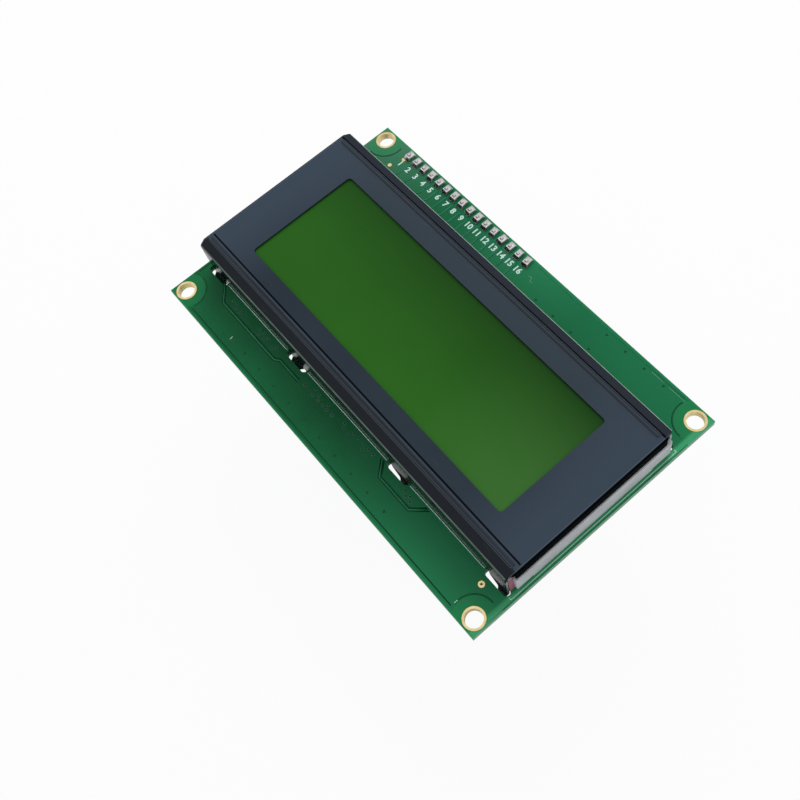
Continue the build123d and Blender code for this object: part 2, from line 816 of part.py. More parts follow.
# Header: sixteen joined blocks of plastic, square pins, and the solder on both boards
with BuildPart() as header_strip:
    for place in header_places:
        with BuildSketch(Plane.XY.offset(board_back)) as block:
            with Locations(place):
                Rectangle(header_pitch, header_block)
            chamfer(block.vertices(), header_block_chamfer)
        extrude(amount=-header_height)
    with BuildSketch(Plane.XY.offset(board_back)):
        with Locations(*header_places):
            Rectangle(pin_side, pin_side)
    extrude(amount=-header_height, mode=Mode.SUBTRACT)
header_strip.part.label = "header_strip"
export_step(header_strip.part, "parts/header_strip.step")

with BuildPart() as header_pins:
    with BuildSketch(Plane.XY.offset(front_pin_reach)):
        with Locations(*header_places):
            Rectangle(pin_side, pin_side)
    extrude(amount=adapter_back - back_pin_reach - front_pin_reach)
    pin_tips = header_pins.faces().filter_by(Axis.Z).edges()
    chamfer(pin_tips, pin_chamfer)
header_pins.part.label = "header_pins"
export_step(header_pins.part, "parts/header_pins.step")

with BuildPart() as header_solder_front:
    add(solder_joints(header_places, 0, 1, joint_height))
    with BuildSketch(Plane.XY):
        with Locations(*header_places):
            Rectangle(pin_side, pin_side)
    extrude(amount=joint_height, mode=Mode.SUBTRACT)
header_solder_front.part.label = "header_solder_front"
export_step(header_solder_front.part, "parts/header_solder_front.step")

with BuildPart() as header_solder_back:
    add(solder_joints(header_places, adapter_back, -1, joint_height))
    with BuildSketch(Plane.XY.offset(adapter_back)):
        with Locations(*header_places):
            Rectangle(pin_side, pin_side)
    extrude(amount=-joint_height, mode=Mode.SUBTRACT)
header_solder_back.part.label = "header_solder_back"
export_step(header_solder_back.part, "parts/header_solder_back.step")

# Adapter board
with BuildPart() as adapter_board:
    with BuildSketch(Plane.XY.offset(adapter_back)):
        with Locations((adapter_x, adapter_y)):
            Rectangle(adapter_length, adapter_width)
        with Locations(*header_places, *adapter_pin_places):
            RegularPolygon(pin_hole_diameter / 2, pin_hole_sides, mode=Mode.SUBTRACT)
    extrude(amount=adapter_thickness)
adapter_board.part.label = "adapter_board"
export_step(adapter_board.part, "parts/adapter_board.step")

# Port expander chip: a body with draft both ways from its parting line, and a dimple
with BuildPart() as expander_chip:
    for direction in (-1, 1):
        with BuildSketch(Plane.XY.offset(expander_middle)):
            with Locations((expander_x, expander_y)):
                Rectangle(expander_width, expander_length)
        extrude(amount=direction * expander_height / 2, taper=expander_draft)
    with BuildSketch(Plane.XY.offset(expander_middle - expander_height / 2)):
        with Locations(
            (
                expander_x - expander_width / 2 + dimple_inset,
                expander_y + expander_length / 2 - dimple_inset,
            )
        ):
            Circle(dimple_diameter / 2)
    extrude(amount=dimple_depth, mode=Mode.SUBTRACT)
expander_chip.part.label = "expander_chip"
export_step(expander_chip.part, "parts/expander_chip.step")


# A gull wing lead in side view, on one side of the chip
def lead_outline(side):
    root = expander_width / 2
    knee = root + lead_shoulder
    ankle = knee + lead_slope
    toe = ankle + lead_foot
    shoulder = expander_middle
    foot = adapter_back
    half = lead_thickness / 2
    points = [
        (root, shoulder - half),
        (knee, shoulder - half),
        (ankle, foot - lead_thickness),
        (toe, foot - lead_thickness),
        (toe, foot),
        (ankle - half, foot),
        (knee - half, shoulder + half),
        (root, shoulder + half),
    ]
    return [(expander_x + side * u, v) for u, v in points]


with BuildPart() as expander_leads:
    for side in (-1, 1):
        for i in range(lead_count):
            lead_y = expander_y + (i - (lead_count - 1) / 2) * lead_pitch
            with BuildSketch(Plane.XZ.offset(-lead_y)):
                with BuildLine():
                    Polyline(*lead_outline(side), close=True)
                make_face()
            extrude(amount=lead_width / 2, both=True)
expander_leads.part.label = "expander_leads"
export_step(expander_leads.part, "parts/expander_leads.step")

# Trimmer: a block on two feet, with a round well for its rotor and notches in one side
with BuildPart() as trimmer_body:
    with BuildSketch(Plane.XY.offset(trimmer_top)) as trimmer_outline:
        with Locations((trimmer_x, trimmer_y)):
            Rectangle(trimmer_length, trimmer_width)
        fillet(trimmer_outline.vertices(), trimmer_edge)
    extrude(amount=trimmer_height)
    with BuildSketch(Plane.XY.offset(adapter_back)):
        with Locations((trimmer_x, trimmer_y)):
            Rectangle(trimmer_length, trimmer_width - 2 * trimmer_foot)
    extrude(amount=-trimmer_standoff, mode=Mode.SUBTRACT)
    with BuildSketch(Plane.XY.offset(trimmer_top)):
        with Locations((trimmer_x, trimmer_y)):
            Circle(rotor_diameter / 2 + rotor_clearance)
    extrude(amount=rotor_sink + rotor_depth, mode=Mode.SUBTRACT)
    with BuildSketch(Plane.XY.offset(adapter_back)):
        with Locations((trimmer_x - trimmer_length / 2, trimmer_y)):
            with GridLocations(0, trimmer_width / 2, 1, 2):
                Rectangle(2 * trimmer_notch_depth, trimmer_notch_width)
    extrude(amount=-trimmer_notch_height, mode=Mode.SUBTRACT)
trimmer_body.part.label = "trimmer_body"
export_step(trimmer_body.part, "parts/trimmer_body.step")

with BuildPart() as trimmer_rotor:
    with BuildSketch(Plane.XY.offset(trimmer_top + rotor_sink)):
        with Locations((trimmer_x, trimmer_y)):
            Circle(rotor_diameter / 2)
    extrude(amount=rotor_depth)
    with BuildSketch(Plane.XY.offset(trimmer_top + rotor_sink)):
        with Locations((trimmer_x, trimmer_y)):
            Rectangle(rotor_slot_length, rotor_slot_width)
            Rectangle(rotor_slot_width, rotor_slot_length)
    extrude(amount=rotor_slot_depth, mode=Mode.SUBTRACT)
trimmer_rotor.part.label = "trimmer_rotor"
export_step(trimmer_rotor.part, "parts/trimmer_rotor.step")

with BuildPart() as trimmer_pins:
    with BuildSketch(Plane.XY.offset(adapter_back - trimmer_standoff)):
        with Locations(*trimmer_pin_places):
            RegularPolygon(trimmer_pin_diameter / 2, joint_sides)
    extrude(amount=trimmer_standoff + adapter_thickness + trimmer_pin_reach)
trimmer_pins.part.label = "trimmer_pins"
export_step(trimmer_pins.part, "parts/trimmer_pins.step")

# Plastic strips of the two bent pin headers
with BuildPart() as bus_header_strip:
    for place in bus_places:
        with BuildSketch(Plane.XY.offset(adapter_back)) as block:
            with Locations(place):
                Rectangle(header_block, header_pitch)
            chamfer(block.vertices(), header_block_chamfer)
        extrude(amount=-strip_height)
    with BuildSketch(Plane.XY.offset(adapter_back)):
        with Locations(*bus_places):
            Rectangle(pin_side, pin_side)
    extrude(amount=-strip_height, mode=Mode.SUBTRACT)
bus_header_strip.part.label = "bus_header_strip"
export_step(bus_header_strip.part, "parts/bus_header_strip.step")

with BuildPart() as jumper_header_strip:
    for place in jumper_places:
        with BuildSketch(Plane.XY.offset(adapter_back)) as block:
            with Locations(place):
                Rectangle(header_block, header_pitch)
            chamfer(block.vertices(), header_block_chamfer)
        extrude(amount=-strip_height)
    with BuildSketch(Plane.XY.offset(adapter_back)):
        with Locations(*jumper_places):
            Rectangle(pin_side, pin_side)
    extrude(amount=-strip_height, mode=Mode.SUBTRACT)
jumper_header_strip.part.label = "jumper_header_strip"
export_step(jumper_header_strip.part, "parts/jumper_header_strip.step")


# A bent pin: up through the board and the plastic, round a bend, then outwards
def bent_pins(places, tip_x):
    root_x = places[0][0]
    side = math.copysign(1, tip_x - root_x)
    half = pin_side / 2
    tail = adapter_front + pin_tail
    outline = [
        (root_x - side * half, tail),
        (root_x - side * half, bent_pin_z - half),
        (tip_x, bent_pin_z - half),
        (tip_x, bent_pin_z + half),
        (root_x + side * half, bent_pin_z + half),
        (root_x + side * half, tail),
    ]
    with BuildPart() as pins:
        for _, row in places:
            with BuildSketch(Plane.XZ.offset(-row)) as profile:
                with BuildLine():
                    Polyline(*outline, close=True)
                make_face()
                fillet(profile.vertices().sort_by_distance(outline[1])[0], pin_bend)
                fillet(profile.vertices().sort_by_distance(outline[4])[0], pin_bend - pin_side)
            extrude(amount=half, both=True)
    return pins.part


bus_pins = bent_pins(bus_places, bus_tip_x)
bus_pins.label = "bus_pins"
export_step(bus_pins, "parts/bus_pins.step")

jumper_pins = bent_pins(jumper_places, jumper_tip_x)
jumper_pins.label = "jumper_pins"
export_step(jumper_pins, "parts/jumper_pins.step")

# Jumper cap: a moulded sleeve, open at both ends, with a notch between two prongs
with BuildPart() as jumper_cap:
    with BuildSketch(Plane.YZ.offset(cap_start_x)) as cap_outline:
        with Locations((jumper_y, bent_pin_z)):
            Rectangle(cap_width, cap_height)
        fillet(cap_outline.vertices(), cap_edge)
        with Locations((jumper_y, bent_pin_z)):
            Rectangle(clip_outer_width, clip_outer_height, mode=Mode.SUBTRACT)
    extrude(amount=cap_length)
    with BuildSketch(Plane.XY.offset(bent_pin_z - cap_height)):
        with Locations((cap_start_x + cap_length, jumper_y)):
            SlotOverall(2 * cap_notch_depth, cap_notch_width)
    extrude(amount=2 * cap_height, mode=Mode.SUBTRACT)
jumper_cap.part.label = "jumper_cap"
export_step(jumper_cap.part, "parts/jumper_cap.step")

# Spring clip: a strip folded round both pins, open along a seam
with BuildPart() as jumper_clip:
    with BuildSketch(Plane.YZ.offset(clip_x - clip_length / 2)):
        with Locations((jumper_y, bent_pin_z)):
            Rectangle(clip_outer_width, clip_outer_height)
            Rectangle(clip_inner_width, clip_inner_height, mode=Mode.SUBTRACT)
        with Locations((jumper_y, bent_pin_z - clip_inner_height / 2 - clip_wall / 2)):
            Rectangle(clip_seam, 2 * clip_wall, mode=Mode.SUBTRACT)
    extrude(amount=clip_length)
jumper_clip.part.label = "jumper_clip"
export_step(jumper_clip.part, "parts/jumper_clip.step")

# Chip resistors, the capacitor and the lamp of the adapter
with BuildPart() as adapter_resistors:
    with BuildSketch(Plane.XY.offset(adapter_back)):
        with Locations(*adapter_resistor_places):
            Rectangle(chip_width, chip_length)
    extrude(amount=-chip_height)
adapter_resistors.part.label = "adapter_resistors"
export_step(adapter_resistors.part, "parts/adapter_resistors.step")

with BuildPart() as adapter_capacitor:
    with BuildSketch(Plane.XY.offset(adapter_back)):
        with Locations(capacitor_place):
            Rectangle(chip_width, chip_length)
    extrude(amount=-capacitor_height)
adapter_capacitor.part.label = "adapter_capacitor"
export_step(adapter_capacitor.part, "parts/adapter_capacitor.step")

with BuildPart() as power_led:
    with BuildSketch(Plane.XY.offset(adapter_back)) as led_outline:
        with Locations(led_place):
            Rectangle(chip_width, chip_length)
        chamfer(led_outline.vertices(), led_edge)
    extrude(amount=-led_height)
    chamfer(power_led.faces().sort_by(Axis.Z)[0].edges(), led_edge)
power_led.part.label = "power_led"
export_step(power_led.part, "parts/power_led.step")

# Solder on the adapter: fillets at the chips' ends, and joints where pins come through
with BuildPart() as adapter_solder:
    for end in (-1, 1):
        for x, y in adapter_chip_places:
            with BuildSketch(Plane.YZ.offset(x)):
                with BuildLine():
                    Polyline(*[(y + u, v) for u, v in chip_fillet(end, adapter_back)], close=True)
                make_face()
            extrude(amount=chip_width / 2 + chip_solder_overlap, both=True)
    add(solder_joints(adapter_pin_places, adapter_front, 1, low_joint_height))
    with BuildSketch(Plane.XY.offset(adapter_front)):
        with Locations(*bus_places, *jumper_places):
            Rectangle(pin_side, pin_side)
        with Locations(*trimmer_pin_places):
            RegularPolygon(trimmer_pin_diameter / 2, joint_sides)
    extrude(amount=low_joint_height, mode=Mode.SUBTRACT)
adapter_solder.part.label = "adapter_solder"
export_step(adapter_solder.part, "parts/adapter_solder.step")

# Bare pads of the adapter's three solder jumpers
with BuildPart() as option_pads:
    with BuildSketch(Plane.XY.offset(adapter_back)):
        with Locations((option_pads_x, option_pads_y)):
            with GridLocations(option_group_pitch, 0, option_group_count, 1):
                with GridLocations(option_pad_pitch, 0, 2, 1):
                    Rectangle(option_pad_length, option_pad_width)
    extrude(amount=-copper)
option_pads.part.label = "option_pads"
export_step(option_pads.part, "parts/option_pads.step")
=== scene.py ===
import json
import math
import bpy
from mathutils import Matrix, Vector


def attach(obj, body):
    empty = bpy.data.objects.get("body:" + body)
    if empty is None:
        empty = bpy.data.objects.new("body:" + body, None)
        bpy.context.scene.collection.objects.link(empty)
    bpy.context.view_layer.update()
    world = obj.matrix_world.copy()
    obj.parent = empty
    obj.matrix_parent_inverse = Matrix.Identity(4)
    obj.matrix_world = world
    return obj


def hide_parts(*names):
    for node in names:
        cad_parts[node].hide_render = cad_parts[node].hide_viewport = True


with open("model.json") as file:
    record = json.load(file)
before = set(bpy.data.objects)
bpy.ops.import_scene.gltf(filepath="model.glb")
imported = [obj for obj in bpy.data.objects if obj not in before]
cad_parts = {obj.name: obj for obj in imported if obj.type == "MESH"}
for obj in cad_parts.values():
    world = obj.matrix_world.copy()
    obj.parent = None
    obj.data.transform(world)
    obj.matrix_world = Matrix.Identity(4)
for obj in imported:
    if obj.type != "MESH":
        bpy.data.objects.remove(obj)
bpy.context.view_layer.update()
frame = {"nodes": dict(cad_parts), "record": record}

# Character display module: finishes, printed marks, solder and moulded detail over the CAD frame.
# Places are given in millimetres in the CAD frame and scaled once, by MM.

nodes = frame["nodes"]
MM = 0.001

# Levels of the main board, of the adapter board behind it, of the trimmer and of the bezel's face
BOARD_FRONT = 0.0
BOARD_BACK = -1.6
ADAPTER_BACK = -5.74
TRIMMER_TOP = -10.44
PLATE = 9.0

# Half length and half width of the main board and of its bolt pattern, and where the slots lie
BOARD_X, BOARD_Y = 49.0, 30.0
HOLE_X, HOLE_Y = 46.5, 27.5
SLOT_Y = 20.15

# Outline of the adapter, centre of the trimmer, and the sixteen pins of the header
ADAPTER_WEST, ADAPTER_EAST = -40.2, 1.3
ADAPTER_SOUTH, ADAPTER_NORTH = 10.6, 29.6
TRIMMER_X, TRIMMER_Y = -31.0, 21.3
PITCH = 2.54
HEADER_Y = 28.2
HEADER_X = [-39.05 + PITCH * i for i in range(16)]


def colour(red, green, blue):
    """A colour as a screen shows it, from 0 to 255, in the renderer's own scale."""
    levels = []
    for part in (red, green, blue):
        level = part / 255
        levels.append(level / 12.92 if level <= 0.04045 else ((level + 0.055) / 1.055) ** 2.4)
    return (*levels, 1.0)


class Amount:
    """A number or a colour that varies over a surface. Sums on it add Math nodes."""

    def __init__(self, finish, socket):
        self.finish = finish
        self.socket = socket

    def math(self, operation, *others):
        return self.finish.add("ShaderNodeMath", {"operation": operation}, [self, *others])

    def __add__(self, other):
        return self.math("ADD", other)

    __radd__ = __add__

    def __sub__(self, other):
        return self.math("SUBTRACT", other)

    def __rsub__(self, other):
        return self.finish.add("ShaderNodeMath", {"operation": "SUBTRACT"}, [other, self])

    def __mul__(self, other):
        return self.math("MULTIPLY", other)

    def __truediv__(self, other):
        return self.math("DIVIDE", other)

    def __gt__(self, other):
        return self.math("GREATER_THAN", other)

    def __lt__(self, other):
        return self.math("LESS_THAN", other)

    def size(self):
        return self.math("ABSOLUTE")

    def held(self):
        """The same number, held between 0 and 1."""
        return self.finish.add("ShaderNodeClamp", {}, [self])


class Finish:
    """One material. Its patterns read Object coordinates, in millimetres."""

    def __init__(self, name, **constants):
        self.material = bpy.data.materials.new(name)
        self.material.use_nodes = True
        self.tree = self.material.node_tree
        self.shader = self.tree.nodes["Principled BSDF"]
        for socket, value in constants.items():
            self.shader.inputs[socket.replace("_", " ")].default_value = value
        place = self.add("ShaderNodeTexCoord", {}, [], "Object")
        in_millimetres = {"Vector": place, "Scale": 1 / MM}
        self.place = self.add("ShaderNodeVectorMath", {"operation": "SCALE"}, in_millimetres)
        self.x = self.add("ShaderNodeSeparateXYZ", {}, [self.place], "X")
        self.y = Amount(self, self.x.socket.node.outputs["Y"])
        self.z = Amount(self, self.x.socket.node.outputs["Z"])

    def add(self, kind, settings, values, output=0):
        """Adds a node with its settings and its sockets' values or links, and gives one output."""
        node = self.tree.nodes.new(kind)
        for name, value in settings.items():
            if name == "stops":
                for stop in range(2, len(value)):
                    node.color_ramp.elements.new(stop / len(value))
                for element, (position, shade) in zip(node.color_ramp.elements, value):
                    element.position = position
                    element.color = shade
            else:
                setattr(node, name, value)
        pairs = values.items() if isinstance(values, dict) else enumerate(values)
        for key, value in pairs:
            if isinstance(value, Amount):
                self.tree.links.new(value.socket, node.inputs[key])
            else:
                node.inputs[key].default_value = value
        return Amount(self, node.outputs[output])

    def noise(self, scale, detail=2.0, stretch=(1, 1, 1)):
        place = self.place
        if stretch != (1, 1, 1):
            place = self.add("ShaderNodeMapping", {}, {"Vector": place, "Scale": stretch})
        return self.add("ShaderNodeTexNoise", {}, {"Vector": place, "Scale": scale, "Detail": detail})

    def weave(self, scale):
        """Two crossed sets of threads, as of the glass cloth under a board's lacquer."""
        threads = [self.noise(scale, 1.0, stretch) * 0.5 for stretch in ((1, 0.25, 1), (0.25, 1, 1))]
        return threads[0] + threads[1]

    def mix(self, mask, first, second):
        """The first colour where the mask is 0, the second where it is 1."""
        node = self.tree.nodes.new("ShaderNodeMix")
        node.data_type = "RGBA"
        for key, value in ((0, mask), (6, first), (7, second)):
            if isinstance(value, Amount):
                self.tree.links.new(value.socket, node.inputs[key])
            else:
                node.inputs[key].default_value = value
        return Amount(self, node.outputs[2])

    def ramp(self, mask, *stops):
        return self.add("ShaderNodeValToRGB", {"stops": stops}, [mask])

    def between(self, along, low, high, soft=0.05):
        """1 from low to high along an axis, and 0 outside."""
        return ((along - low) / soft).held() * ((high - along) / soft).held()

    def wear(self, **links):
        """Links amounts to the shader's own sockets."""
        for socket, value in links.items():
            self.tree.links.new(value.socket, self.shader.inputs[socket.replace("_", " ")])
        return self

    def bump(self, height, distance, strength):
        """Relief of a height, at its full distance in millimetres."""
        relief = {"Height": height, "Distance": distance * MM, "Strength": strength}
        return self.wear(Normal=self.add("ShaderNodeBump", {}, relief))


# Main board: green lacquer over woven glass, in patches of tone, paler to the east, paler behind and
# at the raw edges, with painted light on the north strip and painted highlights at the east margin and
# long edges
def make_board_green():
    finish = Finish("board_green", Specular_IOR_Level=0.1)
    cloud = finish.noise(0.06, 3.0)
    weave = finish.weave(2.2)
    tone = (cloud * 0.8 + weave * 0.35).held()
    front = finish.ramp(tone, (0.3, colour(14, 88, 50)), (0.8, colour(22, 108, 64)))
    east = ((finish.x - 2) / 30).held()
    front = finish.mix(east * 0.8, front, colour(36, 126, 82))
    # Painted light: the north strip, lit from the north, is painted paler, more so in the middle and
    # to the north-west
    north = ((finish.y - 12) / 22).held() * (1.15 - cloud * 0.5)
    front = finish.mix(north.held(), front, colour(24, 116, 74))
    west = ((-25 - finish.x) / 24).held() * north.held()
    front = finish.mix(west * 0.9, front, colour(96, 146, 122))
    middle = finish.between(finish.x, -20, 16, 14) * north.held()
    front = finish.mix(middle * 0.6, front, colour(50, 144, 98))
    off_x = finish.x.size() - HOLE_X
    off_y = finish.y.size() - HOLE_Y
    round_hole = ((18.5 - (off_x * off_x + off_y * off_y)) / 3.0).held()
    front = finish.mix(round_hole * 0.45, front, colour(40, 138, 82))
    # Painted highlights: a paler band over the east margin, and a thin paler band along both long
    # edges
    edge = ((finish.x - (BOARD_X - 1.6)) / 0.6).held()
    front = finish.mix(edge, front, colour(66, 166, 112))
    long_edge_highlight = ((finish.y.size() - (BOARD_Y - 0.45)) / 0.25).held()
    front = finish.mix(long_edge_highlight * 0.5, front, colour(36, 148, 88))
    back = finish.ramp(tone, (0.3, colour(56, 132, 94)), (0.8, colour(78, 160, 118)))
    behind = ((BOARD_BACK / 2 - finish.z) / 0.2).held()
    lacquer = finish.mix(behind, front, back)
    rim = ((finish.x.size() - (BOARD_X - 0.05)) / 0.04).held()
    rim = rim + ((finish.y.size() - (BOARD_Y - 0.05)) / 0.04).held()
    core = finish.between(finish.z, BOARD_BACK + 0.08, BOARD_FRONT - 0.08, 0.06)
    cloth = finish.noise(3.0, 3.0, (1, 1, 4))
    raw = finish.ramp(cloth, (0.3, colour(120, 158, 136)), (0.7, colour(168, 190, 172)))
    finish.wear(Base_Color=finish.mix(rim.held() * core, lacquer, raw))
    finish.wear(Roughness=0.2 + finish.noise(0.5, 3.0) * 0.16 + rim.held() * 0.3)
    return finish.bump(weave, 0.02, 0.5)


# Raised copper under the same lacquer
def make_trace_green(name, low, high):
    finish = Finish(name, Specular_IOR_Level=0.12)
    tone = finish.noise(0.3, 3.0)
    finish.wear(Base_Color=finish.ramp(tone, (0.3, low), (0.75, high)))
    finish.wear(Roughness=0.22 + tone * 0.12)
    return finish.bump(finish.noise(3.0, 1.0), 0.01, 0.4)


# White ink printed on a board
def make_ink(name, low, high):
    finish = Finish(name, Specular_IOR_Level=0.3)
    grain = finish.noise(5.0, 3.0)
    finish.wear(Base_Color=finish.ramp(grain, (0.35, low), (0.65, high)))
    finish.wear(Roughness=0.45 + grain * 0.2)
    return finish.bump(grain, 0.01, 0.5)


# Adapter board: black lacquer over woven glass, brown at the raw edges
def make_adapter_black():
    finish = Finish("adapter_black", Specular_IOR_Level=0.4)
    weave = finish.weave(2.4)
    tone = (finish.noise(0.2, 3.0) * 0.6 + weave * 0.4).held()
    lacquer = finish.ramp(tone, (0.3, colour(14, 15, 17)), (0.7, colour(27, 29, 32)))
    rim = ((ADAPTER_WEST + 0.04 - finish.x) / 0.02).held()
    rim = rim + ((finish.x - (ADAPTER_EAST - 0.04)) / 0.02).held()
    rim = rim + ((finish.y - (ADAPTER_NORTH - 0.03)) / 0.02).held()
    rim = rim + ((ADAPTER_SOUTH + 0.03 - finish.y) / 0.02).held()
    core = finish.between(finish.z, ADAPTER_BACK + 0.08, ADAPTER_BACK + 1.52, 0.05)
    cloth = finish.noise(3.0, 3.0, (1, 1, 4))
    raw = finish.ramp(cloth, (0.3, colour(52, 50, 44)), (0.7, colour(84, 80, 70)))
    finish.wear(Base_Color=finish.mix(rim.held() * core, lacquer, raw))
    finish.wear(Roughness=0.24 + finish.noise(0.6, 3.0) * 0.14 + rim.held() * 0.3)
    return finish.bump(weave, 0.02, 0.5)


# Plated or soldered metal, in patches
def make_metal(name, low, high, rough, spread, scale, relief):
    finish = Finish(name, Metallic=1.0)
    patches = finish.noise(scale, 4.0)
    finish.wear(Base_Color=finish.ramp(patches, (0.3, low), (0.7, high)))
    finish.wear(Roughness=rough + patches * spread)
    return finish.bump(finish.noise(scale * 4, 2.0), relief, 0.6)


# Black lacquered sheet steel, with painted light: a painted slate sheen on the face, dimmer on the
# margins, painted shade in the creases, on the end flanges and on the bead crowns, painted highlights
# along the folds and round the beads, light scuffs, and bare where the sheet was cut at the corners
def make_black_steel():
    finish = Finish("black_steel", Specular_IOR_Level=0.0, Coat_Roughness=0.15, Coat_IOR=1.5)
    cloud = finish.noise(0.05, 2.0)
    across = finish.y.size()
    along = finish.x.size()
    face = ((finish.z - 8.6) / 0.2).held() * ((18.1 - across) / 0.1).held()
    wall = finish.ramp(cloud, (0.3, colour(9, 13, 17)), (0.7, colour(14, 18, 23)))
    # Painted sheen: the face is painted slate, paler to the north and paler and bluer towards the
    # ends; the walls keep the paint's near-black
    plate = finish.ramp(cloud, (0.3, colour(31, 43, 54)), (0.7, colour(38, 51, 62)))
    plate = finish.mix(((finish.y + 6) / 24).held(), plate, colour(50, 62, 72))
    plate = finish.mix(((along - 30) / 14).held(), plate, colour(54, 67, 82))
    skin = finish.mix(face, wall, plate)
    top = ((finish.z - 8.4) / 0.1).held()
    # Painted sheen: the flat margins outside the beads are painted dimmer, the south one darkest
    south_margin = finish.between(finish.y, -19.75, -17.62, 0.1) * top
    north_margin = finish.between(finish.y, 18.2, 19.75, 0.15) * top
    skin = finish.mix(south_margin, skin, colour(29, 33, 38))
    skin = finish.mix(north_margin, skin, colour(41, 46, 55))
    # Painted shade: the end flanges and the creases beside the beads are painted nearly black, and
    # lose most of their coat
    flange_shade = ((along - 47.38) / 0.06).held()
    dark = finish.between(finish.y, 17.8, 18.25, 0.08)
    dark = dark + finish.between(finish.y, -16.5, -16.05, 0.1) * (along < 47.0)
    skin = finish.mix((dark + flange_shade).held(), skin, colour(5, 6, 9))
    # Painted highlights along the top folds of the long sides, paler on the north one
    folds = finish.between(across, 19.74, 20.2, 0.05) * ((finish.z - 8.2) / 0.1).held()
    folds = folds * (0.5 + finish.noise(0.4, 3.0) * 0.7) * ((47.2 - along) / 0.1).held()
    # Painted highlights: thin pale lines on the bead flanks
    bead_highlight = finish.between(finish.y, -17.0, -16.5, 0.08) * 0.8
    bead_highlight = bead_highlight + finish.between(finish.y, 17.3, 17.5, 0.05)
    bead_highlight = bead_highlight + finish.between(finish.y, -17.68, -17.52, 0.04)
    # Painted highlight along the folds at the ends
    rim = finish.between(along, 47.2, 47.36, 0.05) * top
    fold_highlight_tint = finish.mix(finish.y > 0, colour(112, 124, 118), colour(158, 182, 166))
    skin = finish.mix(folds.held(), skin, fold_highlight_tint)
    # Painted shade: the raised crowns of the beads are painted darker
    crown_shade = ((finish.z - (PLATE + 0.03)) / 0.06).held()
    skin = finish.mix(crown_shade * 0.55, skin, colour(18, 24, 32))
    # Painted highlight round the foot of the beads
    outline = finish.between(finish.z, PLATE + 0.01, PLATE + 0.13, 0.02)
    skin = finish.mix(outline * 0.5, skin, colour(104, 114, 124))
    bead_highlight = bead_highlight * top * (along < 46.5)
    skin = finish.mix(bead_highlight.held(), skin, colour(62, 70, 80))
    skin = finish.mix(rim * 0.7, skin, colour(84, 98, 106))
    cut = ((along - 47.02) / 0.03).held() * ((across - 19.5) / 0.03).held()
    cut = cut * ((6.9 - finish.z) / 0.05).held()
    scratches = finish.noise(1.3, 5.0, (0.2, 1, 1))
    scuffs = finish.ramp(scratches, (0.66, (0, 0, 0, 1)), (0.74, (1, 1, 1, 1)))
    skin = finish.mix(scuffs * 0.04, skin, colour(120, 126, 134))
    finish.wear(Base_Color=finish.mix(cut, skin, colour(190, 192, 194)))
    finish.wear(Metallic=cut)
    walls = ((across - 19.9) / 0.05).held() * ((8.3 - finish.z) / 0.1).held()
    gloss = (0.16 + face * 0.16 + walls * 0.6) * (1 - (dark + flange_shade).held() * 0.85)
    finish.wear(Coat_Weight=gloss)
    finish.wear(Roughness=0.45 + cloud * 0.1 - cut * 0.15)
    return finish.bump(finish.noise(1.6, 2.0), 0.003, 0.35)


# Polarising film over the cell, seen unlit: green, paler to the east, with a painted shadow that
# darkens it to the north
def make_film(name, low, high, near, shadow_tone):
    finish = Finish(name, Specular_IOR_Level=0.08)
    cloud = finish.noise(0.04, 2.0)
    tone = finish.ramp(cloud, (0.3, low), (0.7, high))
    # Painted shadow: darker towards the north edge of the window, under the bezel
    north_shadow = ((finish.y + 12 + finish.x * 0.05) / 26).held()
    tone = finish.mix(((finish.x - 12) / 26).held(), tone, near)
    finish.wear(Base_Color=finish.mix(north_shadow * north_shadow, tone, shadow_tone))
    finish.wear(Roughness=0.34 + finish.noise(6.0, 2.0) * 0.08)
    return finish.bump(finish.noise(9.0, 2.0), 0.003, 0.4)


# Glass and clear acrylic
def make_clear(name, low, high, rough, clear):
    finish = Finish(name, Transmission_Weight=clear, IOR=1.49)
    cloud = finish.noise(0.3, 2.0)
    finish.wear(Base_Color=finish.ramp(cloud, (0.3, low), (0.7, high)))
    return finish.wear(Roughness=rough + cloud * 0.06)


# Pink conductive rubber in fine layers
def make_zebra_rubber():
    finish = Finish("zebra_rubber", Specular_IOR_Level=0.3)
    bands = {"Vector": finish.place, "Scale": 3.2}
    layers = finish.add("ShaderNodeTexWave", {"bands_direction": "X"}, bands)
    pink = finish.ramp(layers, (0.3, colour(150, 84, 104)), (0.6, colour(196, 122, 142)))
    finish.wear(Base_Color=pink, Roughness=0.55 + finish.noise(3.0) * 0.15)
    return finish.bump(layers, 0.02, 0.4)


# Moulded plastic with a fine spark-eroded texture
def make_moulded(name, low, high, rough, relief, grain=7.0, shine=0.45):
    finish = Finish(name, Specular_IOR_Level=shine)
    cloud = finish.noise(0.25, 3.0)
    finish.wear(Base_Color=finish.ramp(cloud, (0.3, low), (0.7, high)))
    finish.wear(Roughness=rough + finish.noise(1.5, 3.0) * 0.12)
    return finish.bump(finish.noise(grain, 3.0), relief, 0.5)


# White lamp bodies with a yellow window
def make_lamp_white():
    finish = Finish("lamp_white", Specular_IOR_Level=0.4)
    cloud = finish.noise(0.8, 2.0)
    body = finish.ramp(cloud, (0.3, colour(206, 214, 200)), (0.7, colour(228, 236, 224)))
    glow = finish.ramp(cloud, (0.3, colour(170, 205, 196)), (0.7, colour(196, 226, 214)))
    lens = finish.between(finish.y, 16.55, 17.85, 0.2) * finish.between(finish.x, -3.0, -1.8, 0.15)
    finish.wear(Base_Color=finish.mix(lens, body, glow), Roughness=0.25 + cloud * 0.15)
    return finish.bump(finish.noise(4.0), 0.01, 0.4)


